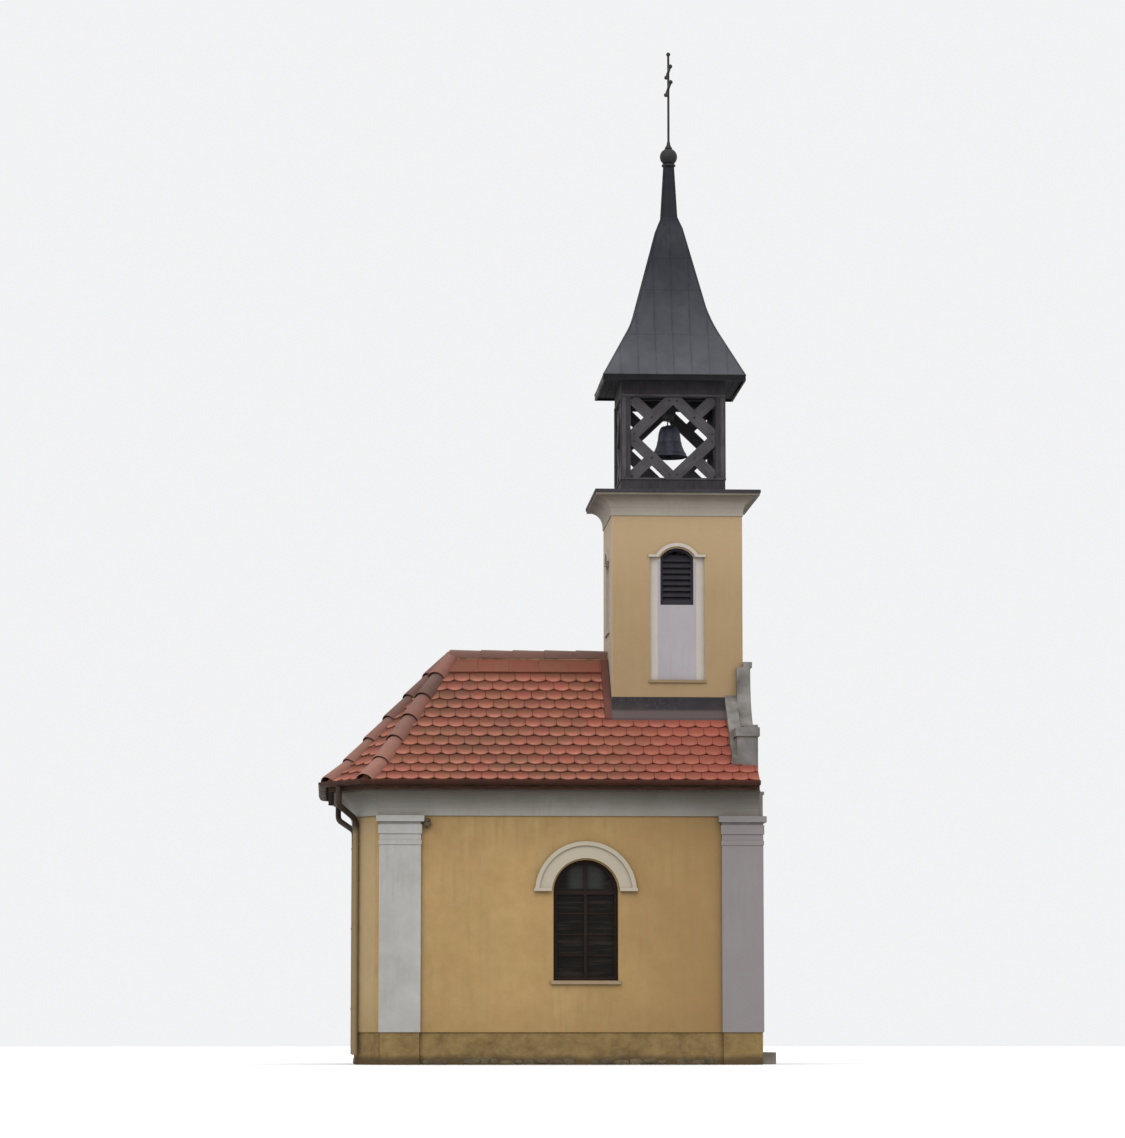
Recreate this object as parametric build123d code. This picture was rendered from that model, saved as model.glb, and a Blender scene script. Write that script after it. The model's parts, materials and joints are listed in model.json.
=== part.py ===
from build123d import *
import os
from math import atan2, cos, degrees, hypot, pi, sin, sqrt

# A small plastered chapel with a three-sided apse, a hipped tile roof and a bell tower
# over its front wall. Millimetres, +Z up, +X towards the front wall, -Y is the near side.
# While it is drawn, X is counted from the outer face of the apse end wall. On writing,
# the whole is moved so that the origin is the bottom centre of its box.

# Body in plan
half_width = 1875.0            # wall face to centre line
body_length = 5045.0           # apse end face to front wall face
apse_depth = 300.0             # length of the canted walls along X
apse_end_half = 1425.0         # half of the end wall
wall_thickness = 400.0
plinth_height = 400.0
plinth_setback = 15.0
wall_height = 3400.0           # ground to wall head
floor_height = 150.0
floor_thickness = 150.0

# Side windows and the front door
window_x = 2879.0
window_width = 810.0
window_sill_height = 1040.0
window_spring_height = 2135.0
window_reveal = 80.0
window_bar = 48.0
window_bar_depth = 60.0
window_mullion = 40.0
window_transom = 50.0
window_mullion_setback = 6.0
window_transom_setback = 3.0
glass_thickness = 6.0
sill_height = 45.0
sill_projection = 40.0
sill_reach = 30.0             # past each side of the opening
sill_top = 2.0                # top of the sill below the opening, at the wall
sill_fall = 10.0
door_width = 1100.0
door_spring_height = 2000.0
door_reveal = 120.0
door_frame_bar = 70.0
door_frame_depth = 80.0
door_leaf_thickness = 55.0
door_leaf_setback = 10.0      # behind the frame's face
door_floor_gap = 8.0
door_leaf_gap = 4.0
door_rebate = 0.5
step_projection = 320.0
step_overlap = 220.0
fit_gap = 0.3                  # clearance of a curved fit

# Moulded arch bands over the windows and the door
hood_gap = 20.0                # bare wall between opening and band
hood_fascia = 158.0
hood_rim = 52.0
hood_fascia_projection = 34.0
hood_rim_projection = 58.0
hood_foot_rise = 55.0          # lower end of the band above the springing
hood_foot_height = 40.0
hood_foot_reach = 12.0

# Pilasters and their capitals
pilaster_width = 520.0
pilaster_projection = 55.0
neck_bottom = 2725.0
neck_top = 2780.0
cap_bottom = 2862.0
cap_top = 2975.0
plate_bottom = 3012.0
plate_top = 3087.0
neck_reach = 8.0
cap_reach = 12.0
plate_reach = 40.0

# Coved eaves, gutters and downpipes
cove_bottom = 3087.0
cove_projection = 265.0
cove_fillet = 25.0
eaves_overhang = 337.0
gutter_radius = 62.0
gutter_sheet = 4.0
gutter_drop = -10.0            # rim below the top of the battens at the eave
pipe_radius = 37.0
pipe_standoff = 44.0
pipe_wall = 3.0
pipe_foot_height = 120.0
pipe_outlet_share = 0.40      # place of the outlet along the canted eave, from the end wall
pipe_outlet_drop = 235.0      # straight stretch under the gutter
pipe_neck_drop = 32.0         # foot of the swan neck below the cove
pipe_bend_radius = 90.0
pipe_corner_step = 95.0        # pipe from the apse's corner, along the canted wall
clip_count = 3
clip_low = 700.0              # height of the lowest clip
clip_drop = 250.0             # highest clip below the swan neck
clip_height = 24.0
clip_wall = 5.0

# Roof
ridge_height = 5262.0          # top of the battens at the ridge
eave_height = 3505.0           # top of the battens at the eave
ridge_start = 1250.0           # where the hips meet the ridge
verge_setback = 70.0           # roof edge behind the corner pilaster's front
plate_width = 150.0            # timber on the wall head under the rafters
roof_thickness = 110.0         # measured upright
flare_start = 0.86             # share of the run where the foot of the slope kicks out
flare_pitch = 0.75             # pitch of the kick against the main slope
cap_radius = 105.0
cap_drop = 45.0                # centre of the half-rounds below the ridge line
ridge_bed = 55.0               # depth of the mortar bed under the ridge tiles
hip_bed = 8.0                  # depth of the mortar bed under the hip tiles
hip_cap_radius = 95.0
hip_cap_setback = 4.0         # foot of the hip tiles behind the eave

# Tower
tower_width = 1680.0
tower_front_setback = 90.0     # tower front behind the front wall face
tower_wall = 280.0
tower_height = 7000.0
niche_width = 705.0
niche_bottom = 4880.0
niche_depth = 35.0
rear_niche_bottom = 5560.0
front_niche_lift = 60.0       # foot of the front niche above the coping
niche_sill_height = 30.0
niche_sill_projection = 22.0
label_gap = 20.0              # bare wall between the louvre's head and its label
label_height = 45.0
label_foot_height = 30.0
label_projection = 24.0
label_reach = 16.0            # past each side of the niche
louvre_width = 425.0
louvre_height = 730.0
louvre_rise = 115.0            # of its low arched head
louvre_drop = 416.0            # its crown below the top of the tower wall
louvre_inset = 60.0
louvre_frame = 32.0
louvre_depth = 70.0
louvre_pitch = 76.0
louvre_slat = 12.0
louvre_slat_setback = 4.0
louvre_slat_lap = 1.05        # fall of a slat against the pitch
tower_cornice_height = 290.0
tower_cornice_projection = 212.0
tower_cornice_foot = 12.0      # projection of its lowest fillet
tower_cornice_lip = 40.0       # height of its fillets
tower_cornice_lip_out = 18.0   # upper fillet beyond the cove
deck_thickness = 12.0
deck_rise = 32.0
deck_drip = 8.0
apron_slope_length = 373.0
apron_upstand = 94.0
apron_sheet = 6.0
apron_lift = 42.0              # sheet above the battens, over the tiles
apron_strip = 105.0            # strip of the apron behind the tower
apron_strip_gap = 12.0         # between the strip and the ridge tiles
arch_thickness = 300.0
arch_width = 2300.0
arch_spring_height = 2000.0
beam_width = 280.0
beam_height = 300.0

# Front gable
wing_thickness = 175.0
wing_top = 5046.0
wing_foot = 4240.0
wing_shelf = 60.0
pedestal_depth = 262.0
pedestal_top = 4096.0
pedestal_cap_height = 110.0
pedestal_cap_reach = 22.0
shoulder_width = 150.0
shoulder_rise = 120.0
coping_height = 70.0
coping_reach = 25.0
band_fillet = 40.0
band_reach = 18.0

# Lantern
lantern_width = 1344.0
lantern_setback = 30.0         # its axis behind the tower's, away from the front
post_width = 120.0
lantern_sill_height = 193.0
lantern_plate_height = 221.0
lantern_top = 8790.0
lattice_board = 140.0
lattice_thickness = 40.0
lattice_inset = 20.0

# Spire, ball and cross
spire_eave_half = 920.0
spire_bend_low_half = 618.0
spire_bend_low = 9380.0
spire_bend_half = 444.0
spire_bend_high = 9787.0
spire_bend_pull_in = 0.62      # place of the bend's corner between its two ends
spire_bend_pull_up = 0.42
spire_shoulder_half = 164.0
spire_shoulder = 10878.0
spire_neck_half = 98.0
spire_neck_start = 11042.0
spire_neck_top_half = 58.0
spire_top = 11755.0
spire_eave_edge = 28.0
spire_shell = 45.0
soffit_thickness = 24.0
soffit_gap = 2.0
spire_fascia_height = 70.0     # board round the eave
spire_fascia = 24.0
ball_radius = 114.0
ball_seat = 8.0                # depth of the neck in the ball
cross_rod = 28.0
cross_height = 1266.0          # from its foot on the ball
cross_low_bar = 780.0
cross_low_rise = 808.0
cross_high_bar = 660.0
cross_high_rise = 1030.0
cross_tip_radius = 28.0

# Bell
bell_axis_height = 8454.0
bell_mouth_radius = 238.0
bell_height = 415.0
bell_lip_height = 7862.0
bell_wall = 16.0
bell_lip_rise = 12.0
bell_shoulder_drop = 12.0
bell_crown = 30.0              # thickness of the crown
boss_height = 14.0
bell_outside = [(0.86, 0.18), (0.66, 0.48), (0.56, 0.84)]   # shares of radius and height
bell_shoulder_share = 0.46
bell_top_share = 0.36
bell_inner_share = 0.30
headstock_width = 120.0
headstock_height = 130.0
headstock_length = 620.0
gudgeon_radius = 14.0
gudgeon_gap = 0.05
bearing_width = 90.0
bearing_thickness = 60.0
bearing_gap = 6.0
bell_beam_width = 90.0
bell_beam_height = 100.0
hanger_radius = 13.0
hanger_spacing = 44.0
clapper_ball_radius = 34.0
clapper_rod_radius = 9.0
clapper_rise = 48.0            # centre of the ball above the lip
clapper_tail = 62.0
clapper_tail_share = 0.8

# Places that follow from the sizes
room_half = half_width - wall_thickness
front_back = body_length - wall_thickness
pilaster_front = body_length + pilaster_projection
pilaster_side = half_width + pilaster_projection
tower_half = tower_width / 2
tower_front = body_length - tower_front_setback
tower_rear = tower_front - tower_width
tower_x = (tower_front + tower_rear) / 2
louvre_top = tower_height - louvre_drop
louvre_spring = louvre_top - louvre_rise
louvre_bottom = louvre_top - louvre_height
niche_top = louvre_spring
wing_back = body_length - wing_thickness
eave_half = half_width + eaves_overhang
pedestal_inner = pilaster_side - pilaster_width
verge_front = pilaster_front - verge_setback
roof_fall = ridge_height - eave_height
main_fall = roof_fall / (flare_start + (1 - flare_start) * flare_pitch)
flare_height = ridge_height - flare_start * main_fall
cornice_top = tower_height + tower_cornice_height
lantern_base = cornice_top + deck_rise
lantern_half = lantern_width / 2
lantern_x = tower_x - lantern_setback
lattice_bottom = lantern_base + lantern_sill_height
plate_low = lantern_top - lantern_plate_height


def block(x0, x1, y0, y1, z0, z1):
    """Box between two corners."""
    return Pos((x0 + x1) / 2, (y0 + y1) / 2, (z0 + z1) / 2) * Box(x1 - x0, y1 - y0, z1 - z0)


def outline(offset, front):
    """Half of the body's plan, moved outwards by offset: front, corner, end corner."""
    cant_x = apse_end_half - half_width
    length = hypot(cant_x, apse_depth)
    normal_x = cant_x / length
    normal_y = -apse_depth / length
    reach = normal_x * apse_depth - normal_y * half_width + offset
    side = half_width + offset
    corner_x = (reach + normal_y * side) / normal_x
    end_half = -(reach + normal_x * offset) / normal_y
    return [(front, -side), (corner_x, -side), (-offset, -end_half)]


def plan(offset, front):
    """Whole plan of the body moved outwards by offset, near side first."""
    near = outline(offset, front)
    far = [(x, -y) for x, y in reversed(near)]
    return near + far


def prism(points, bottom, top):
    """Upright solid over a plan outline."""
    corners = [Vector(x, y, bottom) for x, y in points]
    return extrude(Face(Wire.make_polygon(corners)), top - bottom, dir=(0, 0, 1))


def profile_along_x(points, x0, x1):
    """Solid with a (y, z) outline, from x0 to x1."""
    corners = [Vector(x0, y, z) for y, z in points]
    return extrude(Face(Wire.make_polygon(corners)), x1 - x0, dir=(1, 0, 0))


def profile_along_y(points, y0, y1):
    """Solid with an (x, z) outline, from y0 to y1."""
    corners = [Vector(x, y0, z) for x, z in points]
    return extrude(Face(Wire.make_polygon(corners)), y1 - y0, dir=(0, 1, 0))


def rod_y(radius, x, z, y0, y1):
    """Round bar along Y."""
    return Pos(x, (y0 + y1) / 2, z) * Rot(90, 0, 0) * Cylinder(radius, y1 - y0)


def rod_z(radius, x, y, z0, z1):
    """Upright round bar."""
    return Pos(x, y, (z0 + z1) / 2) * Cylinder(radius, z1 - z0)


def round_headed(width, bottom, spring, y0, y1):
    """Solid with an upright rectangle and a half-round head, facing -Y."""
    return block(-width / 2, width / 2, y0, y1, bottom, spring) + rod_y(width / 2, 0, spring, y0, y1)


def mirror_y(shape):
    """The same shape on the far side."""
    return mirror(shape, about=Plane.XZ)


def near_wall_place(x):
    """Local frame of the near wall's face: -Y outwards."""
    return Pos(x, -half_width, 0)


def far_wall_place(x):
    """Local frame of the far wall's face."""
    return Pos(x, half_width, 0) * Rot(0, 0, 180)


def front_place():
    """Local frame of the front wall's face."""
    return Pos(body_length, 0, 0) * Rot(0, 0, 90)


def tower_places():
    """Local frames of the four tower faces."""
    return {
        "near": Pos(tower_x, -tower_half, 0),
        "far": Pos(tower_x, tower_half, 0) * Rot(0, 0, 180),
        "front": Pos(tower_front, 0, 0) * Rot(0, 0, 90),
        "rear": Pos(tower_rear, 0, 0) * Rot(0, 0, -90),
    }


# Masonry of the body

def door_hole(bottom):
    """Space of the door opening in the front wall."""
    return front_place() * round_headed(door_width, bottom, door_spring_height,
                                        -wall_thickness, 2 * wall_thickness)


def plinth_pad(x0, x1, y_inner):
    """Foot of one near pilaster, set back as the plinth is."""
    low = plinth_setback
    return block(x0 + low, x1 - low, -pilaster_side + low, -y_inner - low, 0, plinth_height)


def make_plinth():
    """Ring of the plinth with the feet of the pilasters, set back under them, open at the door."""
    ring = prism(plan(-plinth_setback, body_length - plinth_setback), 0, plinth_height)
    side = plinth_pad(apse_depth, apse_depth + pilaster_width, room_half)
    corner = plinth_pad(pilaster_front - pilaster_width, pilaster_front, pedestal_inner)
    for pad in (side, corner):
        ring = ring + pad + mirror_y(pad)
    inner = prism(plan(-wall_thickness, front_back), 0, plinth_height)
    return ring - inner - door_hole(0)


def make_floor():
    """Floor slab inside the walls."""
    return prism(plan(-wall_thickness, front_back), floor_height - floor_thickness, floor_height)


def window_hole():
    """Space of a window opening, in the wall's local frame."""
    return round_headed(window_width, window_sill_height, window_spring_height,
                        -wall_thickness, 2 * wall_thickness)


def make_near_wall():
    """Near side wall with its window opening."""
    outer = outline(0, front_back)
    inner = outline(-wall_thickness, front_back)
    wall = prism([outer[0], outer[1], inner[1], inner[0]], plinth_height, wall_height)
    return wall - near_wall_place(window_x) * window_hole()


def make_apse_wall():
    """Three-sided apse wall."""
    outer = plan(0, front_back)
    inner = plan(-wall_thickness, front_back)
    ring = [outer[1], outer[2], outer[3], outer[4], inner[4], inner[3], inner[2], inner[1]]
    return prism(ring, plinth_height, wall_height)


def make_front_wall():
    """Front wall with the door opening."""
    wall = block(front_back, body_length, -half_width, half_width, plinth_height, wall_height)
    return wall - door_hole(0)


def corner_layer(reach, bottom, top):
    """One course of the pilaster that wraps the front corner."""
    x0 = pilaster_front - pilaster_width - reach
    y1 = -(pilaster_side - pilaster_width - reach)
    full = block(x0, pilaster_front + reach, -(pilaster_side + reach), y1, bottom, top)
    wall = block(x0 - 1, body_length, -half_width, y1 + 1, bottom - 1, top + 1)
    return full - wall


def capital_courses():
    """Reach and heights of the shaft and of each moulding of the capital."""
    return [
        (0.0, plinth_height, plate_bottom),
        (neck_reach, neck_bottom, neck_top),
        (cap_reach, cap_bottom, cap_top),
        (plate_reach, plate_bottom, plate_top),
    ]


def make_near_pilasters():
    """Pilaster beside the apse and the one round the front corner."""
    x0 = apse_depth
    x1 = apse_depth + pilaster_width
    side = None
    corner = None
    for reach, bottom, top in capital_courses():
        course = block(x0 - reach, x1 + reach, -(pilaster_side + reach), -half_width, bottom, top)
        side = course if side is None else side + course
        wrap = corner_layer(reach, bottom, top)
        corner = wrap if corner is None else corner + wrap
    return [side, corner]


def make_front_band():
    """Flat band across the front wall between the corner capitals."""
    inner = pilaster_side - pilaster_width - plate_reach
    x1 = pilaster_front
    band = block(body_length, x1, -half_width, half_width, plate_top, wall_height)
    band = band + block(body_length, x1 + band_reach, -half_width, half_width,
                        wall_height - band_fillet, wall_height)
    lower = block(body_length, x1 - pilaster_projection / 2, -inner, inner, plate_bottom, plate_top)
    return band + lower


# Eaves

def cove_section():
    """Outward reach and height of the cove's outline."""
    top = wall_height
    lip = cove_projection - cove_fillet
    steps = 6
    curve = []
    for i in range(steps + 1):
        angle = pi / 2 * i / steps
        reach = cove_fillet + (lip - cove_fillet) * (1 - cos(angle))
        height = cove_bottom + cove_fillet + (top - cove_bottom - 2 * cove_fillet) * sin(angle)
        curve.append((reach, height))
    return [(cove_fillet, cove_bottom)] + curve + [(cove_projection, top - cove_fillet)]


def make_eaves_cornice():
    """Cove under the eaves, mitred round the apse, as stacked tapering courses."""
    section = cove_section() + [(cove_projection, wall_height)]
    solid = None
    front = body_length
    for (r0, z0), (r1, z1) in zip(section, section[1:]):
        if z1 - z0 < 0.01:
            continue
        low = Wire.make_polygon([Vector(x, y, z0) for x, y in plan(r0, front)])
        high = Wire.make_polygon([Vector(x, y, z1) for x, y in plan(r1, front)])
        course = Solid.make_loft([low, high], ruled=True)
        solid = course if solid is None else solid + course
    core = prism(plan(0, front + 1), cove_bottom - 1, wall_height + 1)
    return solid - core


def split_at_cant(shape):
    """Near side, far side and apse stretches of something that runs round the eaves."""
    big = 4 * body_length
    near = shape & block(apse_depth, big, -big, 0, 0, big)
    far = shape & block(apse_depth, big, 0, big, 0, big)
    apse = shape & block(-big, apse_depth, -big, big, 0, big)
    return near, far, apse


def make_gutters():
    """Half-round gutter hung at the eave, near side, far side and apse."""
    centre = eaves_overhang + gutter_radius
    level = eave_height - gutter_drop
    path_points = plan(centre, verge_front + gutter_sheet)
    path = Polyline(*[(x, y, level) for x, y in path_points])
    start = path_points[0]
    plane = Plane(origin=(start[0], start[1], level), x_dir=(0, -1, 0), z_dir=(-1, 0, 0))
    upper_half = Pos(0, gutter_radius) * Rectangle(4 * gutter_radius, 2 * gutter_radius)
    trough = Circle(gutter_radius) - Circle(gutter_radius - gutter_sheet) - upper_half
    return sweep(plane * trough, path=path, transition=Transition.RIGHT)


def make_downpipes():
    """Swan neck and upright pipe at each side of the apse, with clips to the wall."""
    side_corner, end_corner = outline(pipe_standoff, 0)[1:3]
    cant_run = hypot(side_corner[0] - end_corner[0], side_corner[1] - end_corner[1])
    step = pipe_corner_step / cant_run
    corner = (end_corner[0] + (side_corner[0] - end_corner[0]) * step,
              end_corner[1] + (side_corner[1] - end_corner[1]) * step)
    eave = outline(eaves_overhang + gutter_radius, 0)
    outlet_x = eave[2][0] + (eave[1][0] - eave[2][0]) * pipe_outlet_share
    outlet_y = eave[2][1] + (eave[1][1] - eave[2][1]) * pipe_outlet_share
    level = eave_height - gutter_drop - gutter_radius
    neck = cove_bottom - pipe_neck_drop
    points = [
        (outlet_x, outlet_y, level),
        (outlet_x, outlet_y, level - pipe_outlet_drop),
        (corner[0], corner[1], neck),
        (corner[0], corner[1], pipe_foot_height),
    ]
    path = FilletPolyline(*points, radius=pipe_bend_radius)
    start = Plane(origin=points[0], z_dir=(0, 0, -1))
    ring = start * (Circle(pipe_radius) - Circle(pipe_radius - pipe_wall))
    pipe = sweep(ring, path=path)
    clip_pitch = (neck - clip_drop - clip_low) / (clip_count - 1)
    for i in range(clip_count):
        low = clip_low + i * clip_pitch
        high = low + clip_height
        band = rod_z(pipe_radius + clip_wall, corner[0], corner[1], low, high)
        bore = rod_z(pipe_radius - pipe_wall / 2, corner[0], corner[1], low - 1, high + 1)
        pipe = pipe + (band - bore)
    return [pipe, mirror_y(pipe)]


# Roof

def roof_profile(run, thickness):
    """Slope outline (distance from the ridge line, height), with its flared foot."""
    knee = flare_start * run
    return [
        (0, ridge_height),
        (knee, flare_height),
        (run, eave_height),
        (run, eave_height - thickness),
        (knee, flare_height - thickness),
        (0, ridge_height - thickness),
    ]


def roof_mass(drop):
    """Everything under the slopes, lowered by drop, as stacked hipped courses."""
    front = body_length
    tip = 0.001
    levels = [(1.0, eave_height), (flare_start, flare_height), (tip, ridge_height - tip * main_fall)]
    sections = []
    for share, height in levels:
        points = []
        for x, y in plan(eaves_overhang, front):
            far_end = x == front
            px = front if far_end else ridge_start + share * (x - ridge_start)
            points.append(Vector(px, share * y, height - drop))
        sections.append(Wire.make_polygon(points))
    foot = extrude(Face(sections[0]), eave_height - drop, dir=(0, 0, -1))
    lower = Solid.make_loft(sections[:2], ruled=True)
    upper = Solid.make_loft(sections[1:], ruled=True)
    return foot + lower + upper


def make_wall_plates():
    """Bevelled timbers on the wall head that carry the rafters."""
    front = front_back
    outer = prism(plan(0, front), wall_height, ridge_height)
    inner = prism(plan(-plate_width, front + 1), wall_height - 1, ridge_height)
    return (outer - inner) & roof_mass(roof_thickness)


def roof_cuts():
    """Spaces that the tower and the front gable take out of the near slope."""
    top = 2 * ridge_height
    tower = block(tower_rear, tower_front, -tower_half, tower_half, 0, top)
    wing = block(wing_back, 2 * body_length, -pilaster_side, pilaster_side, 0, top)
    pedestal = block(body_length - pedestal_depth, 2 * body_length, -half_width, -pedestal_inner, 0, top)
    cap = block(body_length - pedestal_depth - pedestal_cap_reach, 2 * body_length, -half_width,
                -pedestal_inner + pedestal_cap_reach, pedestal_top, top)
    return [tower, wing, pedestal, cap]


def make_roof_near():
    """Near slope, cut round the tower and the gable."""
    points = [(-d, z) for d, z in roof_profile(eave_half, roof_thickness)]
    front = verge_front
    slab = profile_along_x(points, -2 * body_length, front)
    corner = outline(eaves_overhang, front)
    area = prism([corner[0], corner[1], (ridge_start, 0), (front, 0)], 0, 2 * ridge_height)
    slope = slab & area
    for cut in roof_cuts():
        slope = slope - cut
    return slope


def make_roof_apse(index):
    """One slope over the apse: 1 near cant, 2 end, 3 far cant."""
    corners = plan(eaves_overhang, 0)
    a = corners[index]
    b = corners[index + 1]
    length = hypot(b[0] - a[0], b[1] - a[1])
    out_x = (b[1] - a[1]) / length
    out_y = -(b[0] - a[0]) / length
    run = (a[0] - ridge_start) * out_x + a[1] * out_y
    if run < 0:
        out_x, out_y, run = -out_x, -out_y, -run
    points = roof_profile(run, roof_thickness)
    slab = profile_along_y([(d, z) for d, z in points], -2 * half_width, 2 * half_width)
    turn = degrees(atan2(out_y, out_x))
    slab = Pos(ridge_start, 0, 0) * Rot(0, 0, turn) * slab
    area = prism([a, b, (ridge_start, 0)], 0, 2 * ridge_height)
    return slab & area


def bedded_cap(radius, bed, start, end):
    """Half-round tiles in mortar over a ridge or hip line, before they are cut to the slopes."""
    line = end - start
    plane = Plane(origin=start, x_dir=line.cross(Vector(0, 0, 1)), z_dir=line)
    up = 1 if plane.y_dir.Z > 0 else -1
    section = Circle(radius) & Pos(0, up * radius) * Rectangle(2 * radius, 2 * radius)
    section = section + Pos(0, -up * bed / 2) * Rectangle(2 * radius, bed)
    return extrude(plane * section, line.length)


def make_caps(slopes):
    """Ridge cap up to the tower, and the caps over the four hips, seated on the slopes."""
    crown = Vector(ridge_start, 0, ridge_height - cap_drop)
    ridge = bedded_cap(cap_radius, ridge_bed, crown, Vector(tower_rear, 0, ridge_height - cap_drop))
    knob = rod_z(cap_radius, ridge_start, 0, ridge_height - cap_drop, ridge_height + cap_radius - cap_drop)
    ridge = ridge + (knob & Pos(ridge_start, 0, ridge_height - cap_drop) * Sphere(cap_radius))
    area = prism(plan(eaves_overhang - hip_cap_setback, body_length), 0, 2 * ridge_height)
    hips = []
    for x, y in plan(eaves_overhang, 0)[1:5]:
        knee_x = ridge_start + (x - ridge_start) * flare_start
        knee = Vector(knee_x, y * flare_start, flare_height - cap_drop)
        foot = Vector(x, y, eave_height - cap_drop)
        upper = bedded_cap(hip_cap_radius, hip_bed, crown, knee)
        lower = bedded_cap(hip_cap_radius, hip_bed, knee, foot)
        cap = (upper + lower) & area
        hips.append(cap)
    for slope in slopes:
        ridge = ridge - slope
        hips = [cap - slope for cap in hips]
    hips = [cap - ridge for cap in hips]
    parted = []
    for cap in hips:
        for other in parted:
            cap = cap - other
        parted.append(cap)
    return ridge, parted


# Tower

def louvre_head():
    """Radius and centre height of the louvre's low arched head."""
    rise = louvre_top - louvre_spring
    radius = ((louvre_width / 2) ** 2 + rise ** 2) / (2 * rise)
    return radius, louvre_top - radius


def louvre_opening(y0, y1, margin):
    """Opening with a low arched head, in the tower face's local frame."""
    half = louvre_width / 2 - margin
    radius, centre = louvre_head()
    low = block(-half, half, y0, y1, louvre_bottom + margin, louvre_spring)
    head = block(-half, half, y0, y1, louvre_spring - 1, louvre_top)
    return low + (head & rod_y(radius - margin, 0, centre, y0, y1))


def tower_face_cut(bottom):
    """Niche and louvre opening of one tower face."""
    niche = block(-niche_width / 2, niche_width / 2, -1, niche_depth, bottom, niche_top)
    return niche + louvre_opening(-1, tower_wall + 1, 0)


def tower_face_trim(bottom):
    """Sill under a niche, and the label over its shoulders and the louvre's head."""
    reach = niche_width / 2 + label_reach
    out = -label_projection
    radius, centre = louvre_head()
    outer = radius + label_gap + label_height
    sill = block(-reach, reach, -niche_sill_projection, 0, bottom - niche_sill_height, bottom)
    feet = block(-reach, reach, out, 0, niche_top, niche_top + label_foot_height)
    arch = rod_y(outer, 0, centre, out, 0) & block(-reach, reach, out, 0, niche_top, centre + outer)
    label = feet + arch - rod_y(radius + label_gap, 0, centre, out - 1, 1)
    return label + sill


def make_tower_walls():
    """Four upright walls with their niches, labels, sills and louvred openings."""
    inner = tower_half - tower_wall
    base = wall_height
    places = tower_places()
    front_bottom = wing_top + coping_height + front_niche_lift
    near = block(tower_rear, tower_front, -tower_half, -inner, base, tower_height)
    rear = block(tower_rear, tower_rear + tower_wall, -inner, inner, base, tower_height)
    front = block(tower_front - tower_wall, tower_front, -inner, inner, base, tower_height)
    walls = {}
    for side, wall, bottom in (("near", near, niche_bottom), ("front", front, front_bottom),
                               ("rear", rear, rear_niche_bottom)):
        dressed = wall - places[side] * tower_face_cut(bottom)
        for trim in tower_face_trim(bottom).solids():
            dressed = dressed + places[side] * trim
        walls["tower_wall_" + side] = dressed
    walls["tower_wall_far"] = mirror_y(walls["tower_wall_near"])
    return walls


def make_louvre():
    """Wooden frame with sloping slats, in the tower face's local frame."""
    y0 = louvre_inset
    y1 = louvre_inset + louvre_depth
    frame = louvre_opening(y0, y1, fit_gap) - louvre_opening(y0 - 1, y1 + 1, louvre_frame)
    inner_half = louvre_width / 2 - louvre_frame
    count = int((louvre_top - louvre_bottom - 2 * louvre_frame) / louvre_pitch)
    height = louvre_bottom + louvre_frame + louvre_pitch / 2
    fall = louvre_pitch * louvre_slat_lap
    front = y0 + louvre_slat_setback
    back = y1 - louvre_slat_setback
    for i in range(count):
        z = height + i * louvre_pitch
        points = [
            (front, z - fall / 2),
            (back, z + fall / 2),
            (back, z + fall / 2 + louvre_slat),
            (front, z - fall / 2 + louvre_slat),
        ]
        slat = profile_along_x(points, -inner_half - 1, inner_half + 1)
        frame = frame + (slat & louvre_opening(y0, y1, fit_gap))
    return frame


def make_tower_cornice():
    """Coved cornice round the tower head."""
    reach = tower_cornice_projection
    height = tower_cornice_height
    lip = tower_cornice_lip
    foot = tower_cornice_foot
    steps = 6
    section = [(foot, 0.0), (foot, lip)]
    for i in range(1, steps + 1):
        angle = pi / 2 * i / steps
        out = foot + (reach - foot - tower_cornice_lip_out) * (1 - cos(angle))
        up = lip + (height - 2 * lip) * sin(angle)
        section.append((out, up))
    section = section + [(reach, height - lip), (reach, height)]
    solid = None
    for (r0, z0), (r1, z1) in zip(section, section[1:]):
        if z1 - z0 < 0.01:
            continue
        low = Pos(tower_x, 0, tower_height + z0) * Rectangle(tower_width + 2 * r0, tower_width + 2 * r0)
        high = Pos(tower_x, 0, tower_height + z1) * Rectangle(tower_width + 2 * r1, tower_width + 2 * r1)
        course = loft([low, high], ruled=True)
        solid = course if solid is None else solid + course
    inner = tower_half - tower_wall
    return solid - block(tower_x - inner, tower_x + inner, -inner, inner,
                         tower_height - 1, cornice_top + 1)


def make_tower_deck():
    """Sheet covered deck on the cornice, falling to its edges."""
    half = tower_half + tower_cornice_projection + deck_drip
    edge = Pos(tower_x, 0, cornice_top) * Rectangle(2 * half, 2 * half)
    rim = Pos(tower_x, 0, cornice_top + deck_thickness) * Rectangle(2 * half, 2 * half)
    top = Pos(lantern_x, 0, lantern_base) * Rectangle(lantern_width, lantern_width)
    return loft([edge, rim], ruled=True) + loft([rim, top], ruled=True)


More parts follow.
